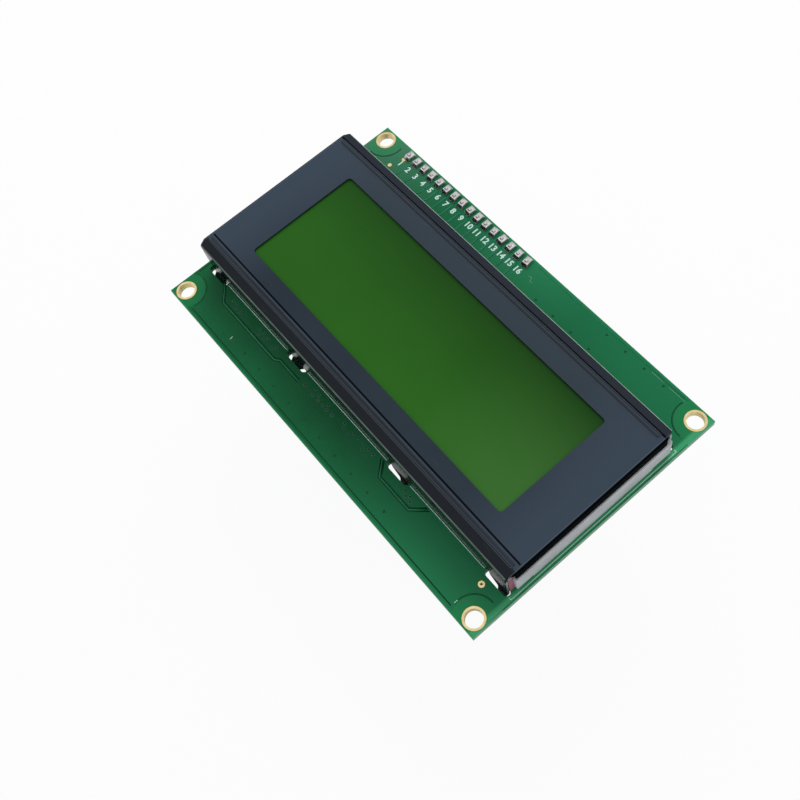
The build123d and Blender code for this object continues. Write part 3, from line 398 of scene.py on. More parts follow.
# Ceramic body of a chip resistor or capacitor
def make_chip(name, body_low, body_high, rough):
    finish = Finish(name, Specular_IOR_Level=0.5)
    cloud = finish.noise(1.4, 3.0)
    finish.wear(Base_Color=finish.ramp(cloud, (0.3, body_low), (0.7, body_high)))
    finish.wear(Roughness=rough + cloud * 0.15)
    return finish.bump(finish.noise(6.0, 2.0), 0.01, 0.5)


board_green = make_board_green()
trace_front = make_trace_green("trace_front", colour(14, 72, 46), colour(20, 86, 56))
trace_soft = make_trace_green("trace_soft", colour(18, 84, 52), colour(26, 102, 64))
trace_light = make_trace_green("trace_light", colour(42, 128, 84), colour(56, 146, 100))
trace_teal = make_trace_green("trace_teal", colour(40, 116, 88), colour(60, 136, 108))
trace_back = make_trace_green("trace_back", colour(40, 104, 76), colour(52, 120, 88))
pour_back = make_trace_green("pour_back", colour(84, 166, 122), colour(98, 180, 134))
board_ink = make_ink("board_ink", colour(196, 232, 222), colour(226, 248, 240))
faint_ink = make_ink("faint_ink", colour(104, 166, 136), colour(140, 192, 166))
adapter_ink = make_ink("adapter_ink", colour(206, 208, 208), colour(236, 238, 238))
adapter_black = make_adapter_black()
gold_plate = make_metal(
    "gold_plate", colour(220, 192, 126), colour(244, 226, 176), 0.26, 0.16, 0.9, 0.015,
)
tin = make_metal("tin", colour(188, 190, 192), colour(224, 224, 222), 0.18, 0.16, 1.2, 0.01)
solder = make_metal("solder", colour(178, 176, 180), colour(236, 234, 233), 0.16, 0.2, 1.3, 0.012)
spring_brass = make_metal(
    "spring_brass", colour(176, 146, 84), colour(206, 178, 112), 0.25, 0.15, 1.0, 0.01,
)
black_steel = make_black_steel()
lcd_film = make_film(
    "lcd_film", colour(39, 95, 24), colour(44, 103, 29), colour(61, 112, 48), colour(25, 66, 18),
)
cell_glass = make_clear("cell_glass", colour(150, 182, 168), colour(176, 204, 190), 0.05, 0.7)
guide_clear = make_clear("guide_clear", colour(214, 226, 214), colour(232, 240, 230), 0.08, 0.6)
film_white = make_moulded("film_white", colour(214, 218, 214), colour(232, 234, 230), 0.4, 0.004)
zebra_rubber = make_zebra_rubber()
housing_grey = make_moulded(
    "housing_grey", colour(184, 186, 190), colour(201, 203, 206), 0.42, 0.01,
)
lamp_white = make_lamp_white()
epoxy_black = make_moulded(
    "epoxy_black", colour(30, 31, 36), colour(44, 45, 51), 0.26, 0.03, 2.5, 0.5,
)
chip_black = make_moulded("chip_black", colour(26, 28, 31), colour(37, 39, 43), 0.5, 0.02, 9.0, 0.4)
resistor_black = make_chip("resistor_black", colour(22, 23, 26), colour(34, 35, 38), 0.22)
capacitor_tan = make_chip("capacitor_tan", colour(168, 122, 66), colour(192, 146, 88), 0.35)
header_plastic = make_moulded(
    "header_plastic", colour(15, 16, 18), colour(27, 28, 31), 0.4, 0.02, 5.0,
)
trimmer_blue = make_moulded(
    "trimmer_blue", colour(26, 70, 188), colour(42, 92, 212), 0.32, 0.012, 6.0, 0.45,
)
rotor_grey = make_moulded(
    "rotor_grey", colour(116, 122, 126), colour(160, 164, 166), 0.42, 0.02, 6.0,
)
via_dark = make_ink("via_dark", colour(36, 34, 30), colour(58, 50, 44))
mark_black = make_ink("mark_black", colour(18, 26, 60), colour(28, 38, 78))

finishes = {
    "board_green": board_green,
    "adapter_black": adapter_black,
    "gold_plate": gold_plate,
    "black_steel": black_steel,
    "lcd_film": lcd_film,
    "cell_glass": cell_glass,
    "zebra_rubber": zebra_rubber,
    "housing_grey": housing_grey,
    "guide_clear": guide_clear,
    "film_white": film_white,
    "lamp_white": lamp_white,
    "tin": tin,
    "solder": solder,
    "epoxy_black": epoxy_black,
    "chip_black": chip_black,
    "header_plastic": header_plastic,
    "trimmer_blue": trimmer_blue,
    "rotor_grey": rotor_grey,
    "capacitor_tan": capacitor_tan,
    "spring_brass": spring_brass,
}
for entry in frame["record"]["subparts"]:
    node = nodes[entry["node"]]
    finish = finishes[entry["material_slot"]]
    if entry["node"] in ("board_resistors", "adapter_resistors"):
        finish = resistor_black
    node.data.materials.clear()
    node.data.materials.append(finish.material)


def select_only(*objects):
    bpy.ops.object.select_all(action="DESELECT")
    for thing in objects:
        thing.select_set(True)
    bpy.context.view_layer.objects.active = objects[0]


def give(piece, finish, body="module"):
    """Finish, material slot and body of a new piece."""
    piece.data.materials.clear()
    piece.data.materials.append(finish.material)
    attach(piece, body)
    return piece


def settle(piece):
    """Puts a piece's place into its mesh, and points its faces outwards."""
    select_only(piece)
    bpy.ops.object.transform_apply(location=True, rotation=True, scale=True)
    bpy.ops.object.mode_set(mode="EDIT")
    bpy.ops.mesh.select_all(action="SELECT")
    bpy.ops.mesh.remove_doubles(threshold=1e-7)
    bpy.ops.mesh.normals_make_consistent(inside=False)
    bpy.ops.object.mode_set(mode="OBJECT")
    return piece


def copies(model, places, name):
    """Copies of one modelled shape at every place (x, y, turn, scale), joined into one piece."""
    made = []
    for x, y, turn, scale in places:
        copy = model.copy()
        copy.data = model.data.copy()
        bpy.context.scene.collection.objects.link(copy)
        turn_and_scale = Matrix.Rotation(turn, 4, "Z") @ Matrix.Diagonal((scale, scale, 1, 1))
        copy.data.transform(Matrix.Translation((x * MM, y * MM, 0)) @ turn_and_scale)
        made.append(copy)
    select_only(*made)
    bpy.ops.object.join()
    bpy.data.objects.remove(model)
    made[0].name = name
    return made[0]


def drawn_lines(name, runs, width, level, direction, proud=0.02):
    """Lines of ink or lacquered copper that lie on a face. A run is (points, closed)."""
    pen = bpy.data.curves.new(name, "CURVE")
    pen.dimensions = "3D"
    pen.bevel_depth = width / 2 * MM
    pen.bevel_resolution = 0
    pen.use_fill_caps = True
    for points, closed in runs:
        line = pen.splines.new("POLY")
        line.points.add(len(points) - 1)
        for point, (x, y) in zip(line.points, points):
            point.co = (x * MM, y * MM, 0, 1)
        line.use_cyclic_u = closed
    piece = bpy.data.objects.new(name, pen)
    bpy.context.scene.collection.objects.link(piece)
    select_only(piece)
    bpy.ops.object.convert(target="MESH")
    piece.scale = (1, 1, proud / (width / 2))
    piece.location = (0, 0, (level + direction * proud * 0.1) * MM)
    return settle(piece)


def printed_numbers(name, labels, height, level, direction):
    """Plain numbers printed on a face, read from in front of it."""
    made = []
    for text, x, y in labels:
        bpy.ops.object.select_all(action="DESELECT")
        bpy.ops.object.text_add()
        words = bpy.context.object
        words.data.body = text
        words.data.size = height * 1.4 * MM
        words.data.align_x = "CENTER"
        words.data.align_y = "CENTER"
        words.data.extrude = 0.01 * MM
        words.data.offset = 0.055 * MM
        words.data.resolution_u = 2
        bpy.ops.object.convert(target="MESH")
        flip = Matrix.Rotation(math.pi, 4, "Y") if direction < 0 else Matrix.Identity(4)
        place = Matrix.Translation((x * MM, y * MM, (level + direction * 0.006) * MM))
        words.data.transform(place @ flip)
        made.append(words)
    select_only(*made)
    bpy.ops.object.join()
    made[0].name = name
    return made[0]


def turned(name, profile, sides, level, direction):
    """A round form built up ring by ring from its foot: (height, radius) in millimetres."""
    bpy.ops.object.select_all(action="DESELECT")
    bpy.ops.mesh.primitive_circle_add(vertices=sides, radius=profile[0][1] * MM, fill_type="NGON")
    form = bpy.context.object
    form.name = name
    bpy.ops.object.mode_set(mode="EDIT")
    for (low, wide), (high, narrow) in zip(profile, profile[1:]):
        bpy.ops.mesh.extrude_region_move(TRANSFORM_OT_translate={"value": (0, 0, (high - low) * MM)})
        bpy.ops.transform.resize(value=(narrow / wide, narrow / wide, 1))
    bpy.ops.object.mode_set(mode="OBJECT")
    form.data.transform(Matrix.Diagonal((1, 1, direction, 1)))
    form.data.transform(Matrix.Translation((0, 0, level * MM)))
    return settle(form)


def run(*points):
    """A line through points, left open."""
    return list(points), False


def loop(*points):
    """A line through points and back to the first."""
    return list(points), True


def ring_of(x, y, radius, count=48, start=0.0, sweep=360.0):
    """Points round a circle or part of one, and whether it closes."""
    closed = sweep >= 360
    steps = count if closed else count + 1
    angles = [math.radians(start + sweep * i / count) for i in range(steps)]
    return [(x + radius * math.cos(a), y + radius * math.sin(a)) for a in angles], closed


def box_of(x, y, length, width):
    corners = ((-1, -1), (1, -1), (1, 1), (-1, 1))
    return loop(*[(x + i * length / 2, y + j * width / 2) for i, j in corners])


def at(points):
    """Places for copies that are neither turned nor scaled."""
    return [(x, y, 0, 1) for x, y in points]


# Copper seen through the lacquer on the front: two stepped tracks, the border of the pour, arcs round
# the holes and tracks from the header. Pale lines along the north and east edges are painted
# highlights
stepped_tracks = [
    run((-41.7, -20.4), (-38.3, -23.1), (-20.1, -23.1), (-19.1, -22.35), (-12.7, -22.35)),
    run((-42.3, -20.5), (-38.5, -23.7), (-19.9, -23.7), (-18.9, -22.95), (-12.5, -22.95)),
    run((11.6, -20.7), (14.3, -23.6), (23.3, -23.6), (26.1, -20.7)),
    run((12.5, -20.6), (14.6, -23.05), (23.0, -23.05), (25.3, -20.6)),
]
# Painted highlights: pale lines along the north and east edges of the board
edge_highlight_runs = [run((1.5, 29.3), (42.0, 29.3)), run((48.78, 23.0), (48.78, -22.8))]
light_tracks = [
    run((-42.0, -20.4), (-38.4, -23.4), (-20.0, -23.4), (-19.0, -22.65), (-12.6, -22.65)),
    run((12.0, -20.6), (14.45, -23.32), (23.15, -23.32), (25.7, -20.6)),
]
border = [
    run((-42.0, -29.05), (42.0, -29.05)),
    run((-48.4, 23.0), (-48.4, -22.8)),
]
arcs = [
    ring_of(HOLE_X, -HOLE_Y, 4.35, 16, 88, 104),
    ring_of(-HOLE_X, -HOLE_Y, 4.35, 16, -12, 104),
    ring_of(HOLE_X, HOLE_Y, 4.35, 16, 168, 104),
    ring_of(-HOLE_X, HOLE_Y, 4.35, 16, 268, 104),
]
front_tracks = drawn_lines("front_tracks", stepped_tracks + border, 0.24, BOARD_FRONT, 1, 0.012)
give(front_tracks, trace_front)
front_arcs = drawn_lines("front_arcs", arcs, 0.3, BOARD_FRONT, 1, 0.012)
give(front_arcs, trace_soft)
front_edge_highlights = drawn_lines("front_edge_highlights", edge_highlight_runs, 0.2, BOARD_FRONT, 1, 0.01)
give(front_edge_highlights, trace_light)
front_lights = drawn_lines("front_track_lights", light_tracks, 0.46, BOARD_FRONT, 1, 0.008)
give(front_lights, trace_light)
TRACK_START = HEADER_Y - 1.2
header_tracks = []
for i, x in enumerate(HEADER_X[3:15]):
    bend = (x + 1.1, 23.6 - 0.1 * i)
    header_tracks.append(run((x + 1.1, TRACK_START), bend, (x - 1.6 - 0.1 * i, 20.6)))
header_tracks += [run((x, TRACK_START), (x - 0.5, 20.6)) for x in (-37.3, -34.4)]
front_header_tracks = drawn_lines("front_header_tracks", header_tracks, 0.45, BOARD_FRONT, 1, 0.01)
give(front_header_tracks, trace_teal)


# Lacquered holes that join the copper of both faces: a low ring round a dark dimple, whose dark colour
# is painted shade for the hole
front_vias = [
    (-37.2, -21.6), (-36.0, -21.4), (-35.3, -22.2), (-33.9, -22.2), (-27.7, -21.4), (-26.2, -21.3),
    (-24.8, -21.4), (-21.7, -21.4), (-27.0, -22.2), (-25.4, -22.1), (-22.5, -22.2), (-11.1, -22.2),
    (-8.7, -21.2), (-7.2, -21.5), (-8.1, -22.3), (-6.5, -22.2), (-4.2, -21.4), (-5.0, -22.3),
    (-3.6, -22.3), (-2.0, -22.2), (1.1, -21.4), (1.8, -22.2), (3.3, -22.2), (4.1, -21.35),
    (5.5, -21.35), (7.1, -21.35), (8.6, -21.35), (7.8, -22.2), (10.0, -21.4), (19.9, -21.4),
    (21.5, -21.5), (20.7, -22.1), (22.2, -22.2),
]
edge_vias = [(-25.4 + 5.08 * i, -27.0) for i in range(10)]
edge_vias += [(6.7 + 5.1 * i, 23.65) for i in range(4)]
edge_vias += [(22.2 + 5.08 * i, 28.3) for i in range(4)]
via = turned("via", [(0, 0.36), (0.012, 0.32), (0.014, 0.24)], 12, BOARD_FRONT, 1)
rings = copies(via, at(front_vias), "front_vias")
give(rings, trace_teal)
# Painted shade: a dark disc in place of the shaded hole
dimple = turned("dimple", [(0, 0.25), (0.018, 0.24), (0.02, 0.14)], 10, BOARD_FRONT, 1)
dimples = copies(dimple, at(front_vias), "front_via_holes")
give(dimples, via_dark)
lacquered = turned("lacquered", [(0, 0.3), (0.012, 0.22), (0.014, 0.12)], 10, BOARD_FRONT, 1)
covered_vias = copies(lacquered, at(edge_vias), "front_edge_vias")
give(covered_vias, trace_front)

# White ink on the front: outline of the display's seat, broken at the slots, and numbers of the pins
seat_line = []
for side in (-1, 1):
    for low, high in ((-41.0, -19.8), (-12.8, 12.8), (19.8, 41.0)):
        seat_line.append(run((low, side * SLOT_Y), (high, side * SLOT_Y)))
seat_line.append(run((47.9, -20.45), (48.4, -20.45), (48.4, 20.45), (47.9, 20.45)))
seat_line += [run((42.1, -27.5), (42.1, -28.3)), run((-30.3, -26.6), (-30.3, -27.4))]
front_ink = drawn_lines("front_ink", seat_line, 0.2, BOARD_FRONT, 1, 0.024)
give(front_ink, board_ink)
thin_marks = [
    run((48.4, -21.0), (48.4, -26.6)),
    run((33.9, 28.85), (37.1, 28.85)),
    run((38.3, 28.85), (42.8, 28.85)),
    run((1.5, 26.3), (1.9, 26.6), (2.4, 26.5), (2.5, 26.0), (2.9, 25.7), (3.3, 25.9)),
]
front_thin_ink = drawn_lines("front_thin_ink", thin_marks, 0.12, BOARD_FRONT, 1, 0.02)
give(front_thin_ink, faint_ink)
pin_labels = [(str(i + 1), x - 0.2, 25.75) for i, x in enumerate(HEADER_X)]
front_numbers = printed_numbers("front_numbers", pin_labels, 1.4, BOARD_FRONT, 1)
give(front_numbers, board_ink)

# Copper on the back
back_runs = [
    run((2.8, 26.7), (26.4, 26.7), (38.0, 15.2)),
    run((2.8, 25.7), (25.8, 25.7), (36.6, 15.0)),
    run((2.8, 24.7), (24.9, 24.7), (35.2, 14.6)),
    run((12.7, 14.7), (30.0, 14.7), (35.6, 9.9), (41.9, 9.9), (41.9, 2.8), (37.2, 2.8)),
    run((14.5, 11.1), (29.0, 11.1), (34.6, 5.0), (37.0, 5.0)),
    run((28.8, 6.4), (20.8, 6.4), (12.5, -4.2)),
    run((28.5, 5.6), (21.3, 5.6), (13.2, -4.6)),
    run((-6.2, 8.0), (-6.2, -3.4), (-9.2, -5.2)),
    run((-7.1, 8.0), (-7.1, -2.9), (-9.6, -4.4)),
    run(
        (11.8, -18.6), (11.2, -22.6), (10.2, -23.6), (-12.8, -23.6), (-13.5, -22.8), (-13.5, -21.2),
    ),
    run(
        (12.5, -18.6), (11.9, -22.9), (10.6, -24.2), (-13.1, -24.2), (-14.1, -23.1), (-14.1, -21.2),
    ),
    run((-30.5, -2.8), (-36.5, -2.8)),
    run((-34.2, -4.2), (-34.2, -10.5), (-34.8, -12.2), (-37.8, -15.2), (-37.8, -18.6)),
    run((-31.0, -12.8), (-36.2, -12.8), (-38.6, -15.4), (-38.6, -18.6)),
    run((12.2, -0.6), (8.0, -3.4), (-0.8, -3.4), (-3.4, -1.0)),
    run((36.6, -5.2), (33.4, -8.0), (12.4, -8.0)),
    run((22.8, -12.4), (22.8, -22.9), (12.6, -22.9)),
    run((-21.6, -16.0), (-28.4, -16.0), (-28.4, -22.9), (-20.6, -22.9)),
]
for i in range(4):
    west = -45.6 + 0.6 * i
    upper = [(-43.6 + 0.6 * i, 11.0 - 0.2 * i), (west, 8.6 - 0.2 * i)]
    lower = [(west, 4.4 + 0.4 * i), (-42.6 + 0.4 * i, 2.6 + 0.2 * i)]
    back_runs.append(run(*upper, *lower))
back_runs += [run((6.8 - 0.8 * i, -15.8), (6.8 - 0.8 * i, -20.4)) for i in range(24)]
back_runs += [run((-21.4 - 0.8 * i, -16.6), (-21.4 - 0.8 * i, -20.4)) for i in range(8)]
back_runs += [run((-31.6 - 0.7 * i, -14.6 - 0.5 * i), (-31.6 - 0.7 * i, -20.4)) for i in range(6)]
back_runs += [run((sign * 48.0, 23.0), (sign * 48.0, -23.0)) for sign in (-1, 1)]
back_runs.append(run((-42.0, -29.0), (42.0, -29.0)))
back_tracks = drawn_lines("back_tracks", back_runs, 0.22, BOARD_BACK, -1)
give(back_tracks, trace_back)
pour_lines = [
    loop((-10.5, -2.0), (-25.2, -2.0), (-22.5, -5.5), (-21.2, -7.6), (-12.8, -8.3), (-10.8, -5.8)),
    run((12.2, 14.2), (30.2, 14.2), (35.8, 9.3), (41.3, 9.3)),
    run((14.5, 10.6), (28.8, 10.6), (34.3, 4.4), (37.0, 4.4)),
    run((20.4, -3.0), (22.0, -1.2), (22.0, 3.4)),
]
back_pour = drawn_lines("back_pour", pour_lines, 0.3, BOARD_BACK, -1, 0.018)
give(back_pour, pour_back)


def staggered(x0, x1, y0, y1, step):
    """Places in staggered rows between two corners."""
    rows = int((y1 - y0) / step) + 1
    count = int((x1 - x0) / step) + 1
    places = []
    for j in range(rows):
        places += [(x0 + step * i + (j % 2) * step / 2, y0 + step * j) for i in range(count)]
    return places


via_fields = [
    (37.2, 41.4, 3.4, 8.4, 1.0),
    (-2.8, 13.0, -6.6, 0.2, 1.35),
    (13.4, 33.8, -7.6, -5.6, 1.1),
    (13.0, 21.8, -22.4, -20.9, 1.1),
    (-12.0, 9.2, -22.6, -21.2, 1.1),
    (-30.8, -21.0, -22.4, -20.9, 1.1),
    (-37.0, -32.0, -22.4, -20.9, 1.1),
    (-24.6, -9.6, -1.4, -0.2, 1.1),
    (33.4, 36.6, -3.6, 3.4, 1.5),
]
back_vias = [place for field in via_fields for place in staggered(*field)]
back_vias += [(24.8 - 5.0 * i, -27.0) for i in range(11)]
back_vias += [(37.2 - 5.0 * i, 28.0) for i in range(6)]
back_vias += [(22.2 - 5.1 * i, 23.3) for i in range(4)]
back_vias += [(-HOLE_X, -2.2 - 5.0 * i) for i in range(3)]
blobs = [(-25.2, -9.6), (5.0, -9.7), (28.2, 0.0), (8.2, 6.9), (-18.5, 5.4)]
CLEAR_OF_BLOB = 5.7
back_vias = [p for p in back_vias if all(math.dist(p, blob) > CLEAR_OF_BLOB for blob in blobs)]
via = turned("via", [(0, 0.26), (0.015, 0.2), (0.017, 0.1)], 8, BOARD_BACK, -1)
via_back = copies(via, at(back_vias), "back_vias")
give(via_back, trace_back)


# White ink on the back: rings round the domes, brackets round the small parts, plain numbers
def brackets(x, y, length, width, gap):
    """Two facing brackets with their open sides along X."""
    top, foot, end = y + width / 2, y - width / 2, x - length / 2
    left = [(x - gap / 2, top), (end, top), (end, foot), (x - gap / 2, foot)]
    right = [(2 * x - px, py) for px, py in left]
    return [run(*left), run(*right)]


def upright_brackets(x, y, length, width, gap):
    """The same two brackets, turned to stand along Y."""
    turned_runs = []
    for points, _ in brackets(x, y, length, width, gap):
        turned_runs.append(run(*[(x + (py - y), y + (px - x)) for px, py in points]))
    return turned_runs


back_marks = [ring_of(x, y, 5.15) for x, y in blobs]
for x, y in ((-31.5, 0.75), (-31.6, 3.3), (-25.6, 2.3), (-41.9, 1.2), (-39.0, -1.8), (32.1, -15.7)):
    back_marks += brackets(x, y, 5.0, 2.1, 1.1)
for x, y in ((40.5, 12.0), (44.2, 11.8), (23.2, -11.6), (25.3, -11.6), (38.2, -11.6)):
    back_marks += upright_brackets(x, y, 5.0, 2.0, 1.1)
notched = [(32.1, -8.6), (32.1, -13.8), (34.3, -13.8), (34.3, -8.6)]
back_marks += [
    loop(*notched, (33.6, -8.6), (33.2, -9.0), (32.8, -8.6)),
    run((-42.3, -0.2), (-41.5, -0.2)),
    run((-36.0, -3.6), (-36.0, -4.4)),
    run((-36.4, -4.0), (-35.6, -4.0)),
    run((33.2, -17.8), (33.2, -18.6)),
    run((33.6, -18.2), (32.8, -18.2)),
]
back_ink = drawn_lines("back_ink", back_marks, 0.2, BOARD_BACK, -1, 0.024)
give(back_ink, board_ink)
number_places = [
    ("1", -31.0, -5.6), ("2", -0.2, -5.6), ("3", 22.4, 3.6), ("4", 2.4, 3.4), ("5", -24.6, 9.0),
    ("6", -45.4, 1.2), ("7", -42.6, -1.8), ("8", 28.4, -15.7), ("9", 20.6, -10.6),
    ("10", 20.4, -12.6), ("11", 37.4, 13.0), ("12", 37.4, 10.8),
    ("1", -41.2, 28.2), ("16", 1.8, 28.6), ("13", -42.8, -22.9), ("14", -43.4, -25.0),
    ("15", -35.6, 3.2), ("17", -35.6, 0.8),
]
back_numbers = printed_numbers("back_numbers", number_places, 1.2, BOARD_BACK, -1)
give(back_numbers, board_ink)


def thin_block(place, size, bevel, segments):
    """A thin block with bevelled edges, by its centre and its size in millimetres."""
    bpy.ops.object.select_all(action="DESELECT")
    location = tuple(value * MM for value in place)
    bpy.ops.mesh.primitive_cube_add(size=1, location=location, scale=tuple(side * MM for side in size))
    block = bpy.context.object
    bpy.ops.object.transform_apply(location=True, rotation=False, scale=True)
    bpy.ops.object.mode_set(mode="EDIT")
    bpy.ops.mesh.select_all(action="SELECT")
    bpy.ops.mesh.bevel(offset=bevel * MM, segments=segments)
    bpy.ops.object.mode_set(mode="OBJECT")
    return block


# Darker bare patch on the back
patch = thin_block((33.0, -25.2, BOARD_BACK - 0.006), (14.6, 3.8, 0.016), 0.004, 1)
patch.name = "back_patch"
give(patch, trace_back)

# Epoxy domes over the chips on the back
dome_profile = [
    (0, 4.6), (0.12, 4.58), (0.3, 4.44), (0.5, 4.18), (0.68, 3.82), (0.84, 3.3), (0.96, 2.6),
    (1.04, 1.8), (1.09, 0.9), (1.1, 0.25),
]
dome = turned("dome", dome_profile, 56, BOARD_BACK, -1)
dome_places = [(x, y, 1.3 * i, 1 - 0.006 * (i % 3)) for i, (x, y) in enumerate(blobs)]
domes = copies(dome, dome_places, "epoxy_domes")
select_only(domes)
bpy.ops.object.shade_smooth()
give(domes, epoxy_black)
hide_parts("epoxy_blobs")

# Solder joints that have wetted up their pins: a spread foot, a hollow flank and a rounded shoulder
joint_profile = [
    (0, 0.94), (0.05, 0.92), (0.14, 0.83), (0.3, 0.73), (0.5, 0.66), (0.7, 0.61), (0.88, 0.56),
    (0.97, 0.48), (1.0, 0.35),
]


def stout_joint():
    """A full joint on an oblong pad: nearly flat to the north, and a slope south of the pin."""
    bpy.ops.object.select_all(action="DESELECT")
    bpy.ops.mesh.primitive_grid_add(x_subdivisions=1, y_subdivisions=1, size=2 * MM)
    joint = bpy.context.object
    foot = joint.data.vertices
    for corner in foot:
        side = 0.84 if corner.co.x > 0 else -0.84
        corner.co = (side * MM, (1.38 if corner.co.y > 0 else -1.15) * MM, 0)
    bpy.ops.object.mode_set(mode="EDIT")
    bpy.ops.mesh.select_all(action="SELECT")
    bpy.ops.mesh.extrude_region_move(TRANSFORM_OT_translate={"value": (0, 0, 0.16 * MM)})
    bpy.ops.mesh.extrude_region_move(TRANSFORM_OT_translate={"value": (0, 0, 0.62 * MM)})
    bpy.ops.object.mode_set(mode="OBJECT")
    for corner in joint.data.vertices:
        if corner.co.z > 0.5 * MM:
            end, height = (1.2, 0.78) if corner.co.y > 0 else (-0.5, 0.8)
            corner.co = (corner.co.x * 0.88, end * MM, height * MM)
    bpy.ops.object.mode_set(mode="EDIT")
    bpy.ops.mesh.select_all(action="SELECT")
    bpy.ops.mesh.bevel(offset=0.15 * MM, segments=3, affect="EDGES")
    bpy.ops.object.mode_set(mode="OBJECT")
    return settle(joint)


def solder_row(name, joint, node):
    """A joint on each pin of the header, each a little turned and scaled, in place of a node."""
    places = []
    for i, x in enumerate(HEADER_X):
        places.append((x, HEADER_Y, 0.07 * ((i * 5) % 4 - 1.5), 1 - 0.03 * ((i * 7) % 3)))
    row = copies(joint, places, name)
    select_only(row)
    bpy.ops.object.shade_smooth_by_angle(angle=math.radians(50))
    give(row, solder)
    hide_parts(node)


solder_row("front_joints", stout_joint(), "header_solder_front")
back_joint = turned("joint", joint_profile, 20, ADAPTER_BACK, -1)
solder_row("back_joints", back_joint, "header_solder_back")

# Marks printed on the adapter
adapter_marks = [
    run((-39.85, 10.9), (-39.85, 29.3), (1.0, 29.3), (1.0, 26.5), (-39.85, 26.5)),
    run((-15.3, 25.2), (-15.3, 25.8), (-23.3, 25.8), (-23.3, 25.2)),
    run((-27.2, 25.0), (-27.2, 25.35), (-34.85, 25.35), (-34.85, 17.3), (-34.3, 17.3)),
    run((-36.7, 24.5), (-36.7, 25.15), (-39.4, 25.15)),
    run((1.1, 23.8), (-1.35, 23.8), (-1.35, 17.7), (-0.8, 17.7)),
]
for x in (-32.9, -30.4, -27.9):
    adapter_marks.append(box_of(x, 12.55, 1.8, 3.7))
for x in (-5.4, -7.9, -10.4):
    adapter_marks.append(box_of(x, 17.2, 2.0, 3.9))
adapter_marks.append(box_of(-7.6, 22.0, 2.0, 3.9))
round_corner = 0.5
for x, y, width, length in ((-10.1, 22.0, 2.1, 3.9), (-2.4, 17.2, 2.1, 4.4)):
    points = []
    for i, (sx, sy) in enumerate(((1, 1), (-1, 1), (-1, -1), (1, -1))):
        centre = (x + sx * (width / 2 - round_corner), y + sy * (length / 2 - round_corner))
        points += ring_of(*centre, round_corner, 4, 90 * i, 90)[0]
    adapter_marks.append(loop(*points))
for i in (-1, 0, 1):
    adapter_marks.append(box_of(-13.25 + 4.5 * i, 11.9, 4.1, 1.9))
adapter_lines = drawn_lines("adapter_ink_lines", adapter_marks, 0.18, ADAPTER_BACK, -1, 0.022)
give(adapter_lines, adapter_ink)
hatch = [run((x, 29.42), (x + 0.3, 28.98)) for x in [-39.6 + 0.42 * i for i in range(96)]]
adapter_hatch = drawn_lines("adapter_hatch", hatch, 0.12, ADAPTER_BACK, -1, 0.02)
give(adapter_hatch, adapter_ink)
small_numbers = [
    ("4", -35.5, 23.4), ("3", -35.5, 20.87), ("2", -35.5, 18.33), ("1", -35.5, 15.8),
    ("1", -3.2, 21.9), ("2", -3.2, 19.4),
]
adapter_numbers = printed_numbers("adapter_numbers", small_numbers, 1.0, ADAPTER_BACK, -1)
give(adapter_numbers, adapter_ink)

# Tinned pads that reach out from under the expander's feet
pad = thin_block((0, 0, ADAPTER_BACK - 0.02), (2.1, 0.6, 0.06), 0.02, 2)
rows = [20.0 + PITCH / 2 * (i - 3.5) for i in range(8)]
pad_places = [(x, y) for x in (-24.5, -13.9) for y in rows]
expander_pads = copies(pad, at(pad_places), "expander_pads")
give(expander_pads, solder)

# Scale round the trimmer's rotor
ticks = []
for i in range(12):
    angle = math.radians(30 * i + 15)
    x, y = math.cos(angle), math.sin(angle)
    ticks.append(run(*[(TRIMMER_X + r * x, TRIMMER_Y + r * y) for r in (1.75, 2.35)]))
trimmer_marks = drawn_lines("trimmer_marks", ticks, 0.16, TRIMMER_TOP, -1, 0.014)
give(trimmer_marks, mark_black)
spot = turned("trimmer_spot", [(0, 0.2), (0.01, 0.16)], 12, TRIMMER_TOP, -1)
spot.data.transform(Matrix.Translation(((TRIMMER_X - 1.7) * MM, (TRIMMER_Y + 1.6) * MM, 0)))
give(spot, adapter_ink)

# Pale floor below, out of which only a soft shadow shows
bpy.ops.object.select_all(action="DESELECT")
bpy.ops.mesh.primitive_plane_add(size=3.0, location=(0, 0, -0.034))
floor = bpy.context.object
floor.name = "floor"
ground = Finish("floor_paper", Roughness=0.9, Specular_IOR_Level=0.1)
grain = ground.noise(0.02, 2.0)
ground.wear(Base_Color=ground.ramp(grain, (0.3, (0.86, 0.86, 0.86, 1)), (0.7, (0.89, 0.89, 0.89, 1))))
seen = ground.add("ShaderNodeLightPath", {}, [], "Is Camera Ray")
white = ground.add("ShaderNodeEmission", {}, {"Color": (1, 1, 1, 1)})
paper = Amount(ground, ground.shader.outputs[0])
lit = ground.add("ShaderNodeMixShader", {}, {0: seen * 0.93, 1: paper, 2: white})
under = ground.add("ShaderNodeNewGeometry", {}, [], "Backfacing")
open_below = ground.add("ShaderNodeBsdfTransparent", {}, [])
shown = ground.add("ShaderNodeMixShader", {}, {0: under, 1: lit, 2: open_below})
ground.tree.links.new(shown.socket, ground.tree.nodes["Material Output"].inputs["Surface"])
floor.data.materials.append(ground.material)

# Sky: even soft light, and plain white to the camera. Gloss and glass see white overhead and to the
# south, and dimmer low in the north
world = bpy.data.worlds.new("studio")
bpy.context.scene.world = world
world.use_nodes = True
sky = world.node_tree
sky.nodes.clear()


def sky_node(kind, settings, values, output=0):
    """Adds a node to the sky, as Finish.add does to a material."""
    node = sky.nodes.new(kind)
    for name, value in settings.items():
        setattr(node, name, value)
    for key, value in values.items():
        if isinstance(value, bpy.types.NodeSocket):
            sky.links.new(value, node.inputs[key])
        else:
            node.inputs[key].default_value = value
    return node.outputs[output]


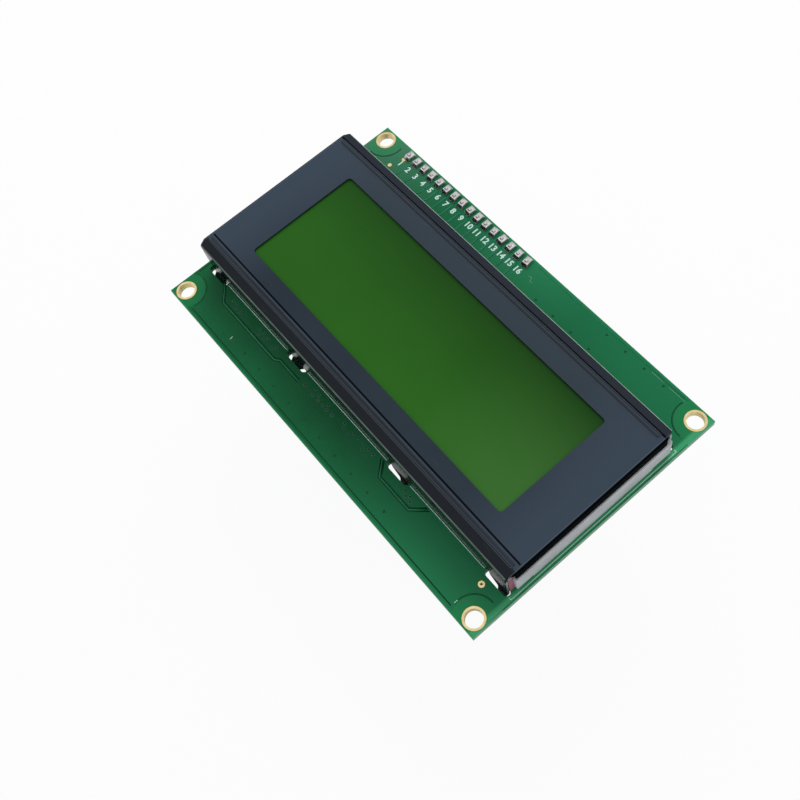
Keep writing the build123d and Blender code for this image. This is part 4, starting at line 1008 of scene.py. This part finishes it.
heading = sky_node("ShaderNodeTexCoord", {}, {}, "Generated")
overhead = {0: heading, 1: (-0.1, -0.42, 0.9)}
height = sky_node("ShaderNodeVectorMath", {"operation": "DOT_PRODUCT"}, overhead, "Value")
limits = {"From Min": -0.1, "From Max": 0.62, "To Min": 0.1, "To Max": 1.0}
fade = sky_node("ShaderNodeMapRange", {}, {"Value": height, **limits})
soft = sky_node("ShaderNodeBackground", {}, {"Color": (0.97, 0.98, 1.0, 1), "Strength": 0.62})
reflected = sky_node("ShaderNodeBackground", {}, {"Color": (1, 1, 1, 1), "Strength": fade})
plain = sky_node("ShaderNodeBackground", {}, {"Color": (1, 1, 1, 1), "Strength": 1.0})
path = sky_node("ShaderNodeLightPath", {}, {}).node
glossy, through = path.outputs["Is Glossy Ray"], path.outputs["Is Transmission Ray"]
shiny = sky_node("ShaderNodeMath", {"operation": "MAXIMUM"}, {0: glossy, 1: through})
lit_or_shiny = sky_node("ShaderNodeMixShader", {}, {0: shiny, 1: soft, 2: reflected})
to_camera = path.outputs["Is Camera Ray"]
shown_sky = sky_node("ShaderNodeMixShader", {}, {0: to_camera, 1: lit_or_shiny, 2: plain})
sky.links.new(shown_sky, sky.nodes.new("ShaderNodeOutputWorld").inputs["Surface"])


def softbox(name, place, target, size, power):
    lamp = bpy.data.lights.new(name, "AREA")
    lamp.shape = "RECTANGLE"
    lamp.size, lamp.size_y = size
    lamp.energy = power
    stand = bpy.data.objects.new(name, lamp)
    bpy.context.scene.collection.objects.link(stand)
    stand.location = place
    stand.rotation_euler = (Vector(target) - Vector(place)).to_track_quat("-Z", "Y").to_euler()
    stand.visible_glossy = False


softbox("north_softbox", (-0.35, 0.42, 0.5), (0, 0, 0), (0.5, 0.35), 2.6)
softbox("back_softbox", (0.2, 0.3, -0.5), (0, 0, 0), (0.6, 0.4), 3.0)

# Camera at the place that was solved for it. Its view, focal length and centre are in pixels
PICTURE = 800
FOCAL_LENGTH = 1022.95
CENTRE_X, CENTRE_Y = 446.24, 381.59
SENSOR = 36
right = Vector((0.643437, 0.756168, -0.119158)).normalized()
forward = Vector((-0.395817, 0.19541, -0.897298)).normalized()
up = right.cross(forward)
lens = bpy.data.cameras.new("camera")
camera = bpy.data.objects.new("camera", lens)
bpy.context.scene.collection.objects.link(camera)
turn = Matrix((right, up, -forward)).transposed()
camera.matrix_world = Matrix.Translation((0.0872335, -0.0403067, 0.1795932)) @ turn.to_4x4()
lens.sensor_width = SENSOR
lens.lens = FOCAL_LENGTH / PICTURE * SENSOR
lens.shift_x = (PICTURE / 2 - CENTRE_X) / PICTURE
lens.shift_y = (CENTRE_Y - PICTURE / 2) / PICTURE
lens.clip_start = 0.005
lens.clip_end = 20
bpy.context.scene.camera = camera
bpy.context.scene.view_settings.view_transform = "Standard"
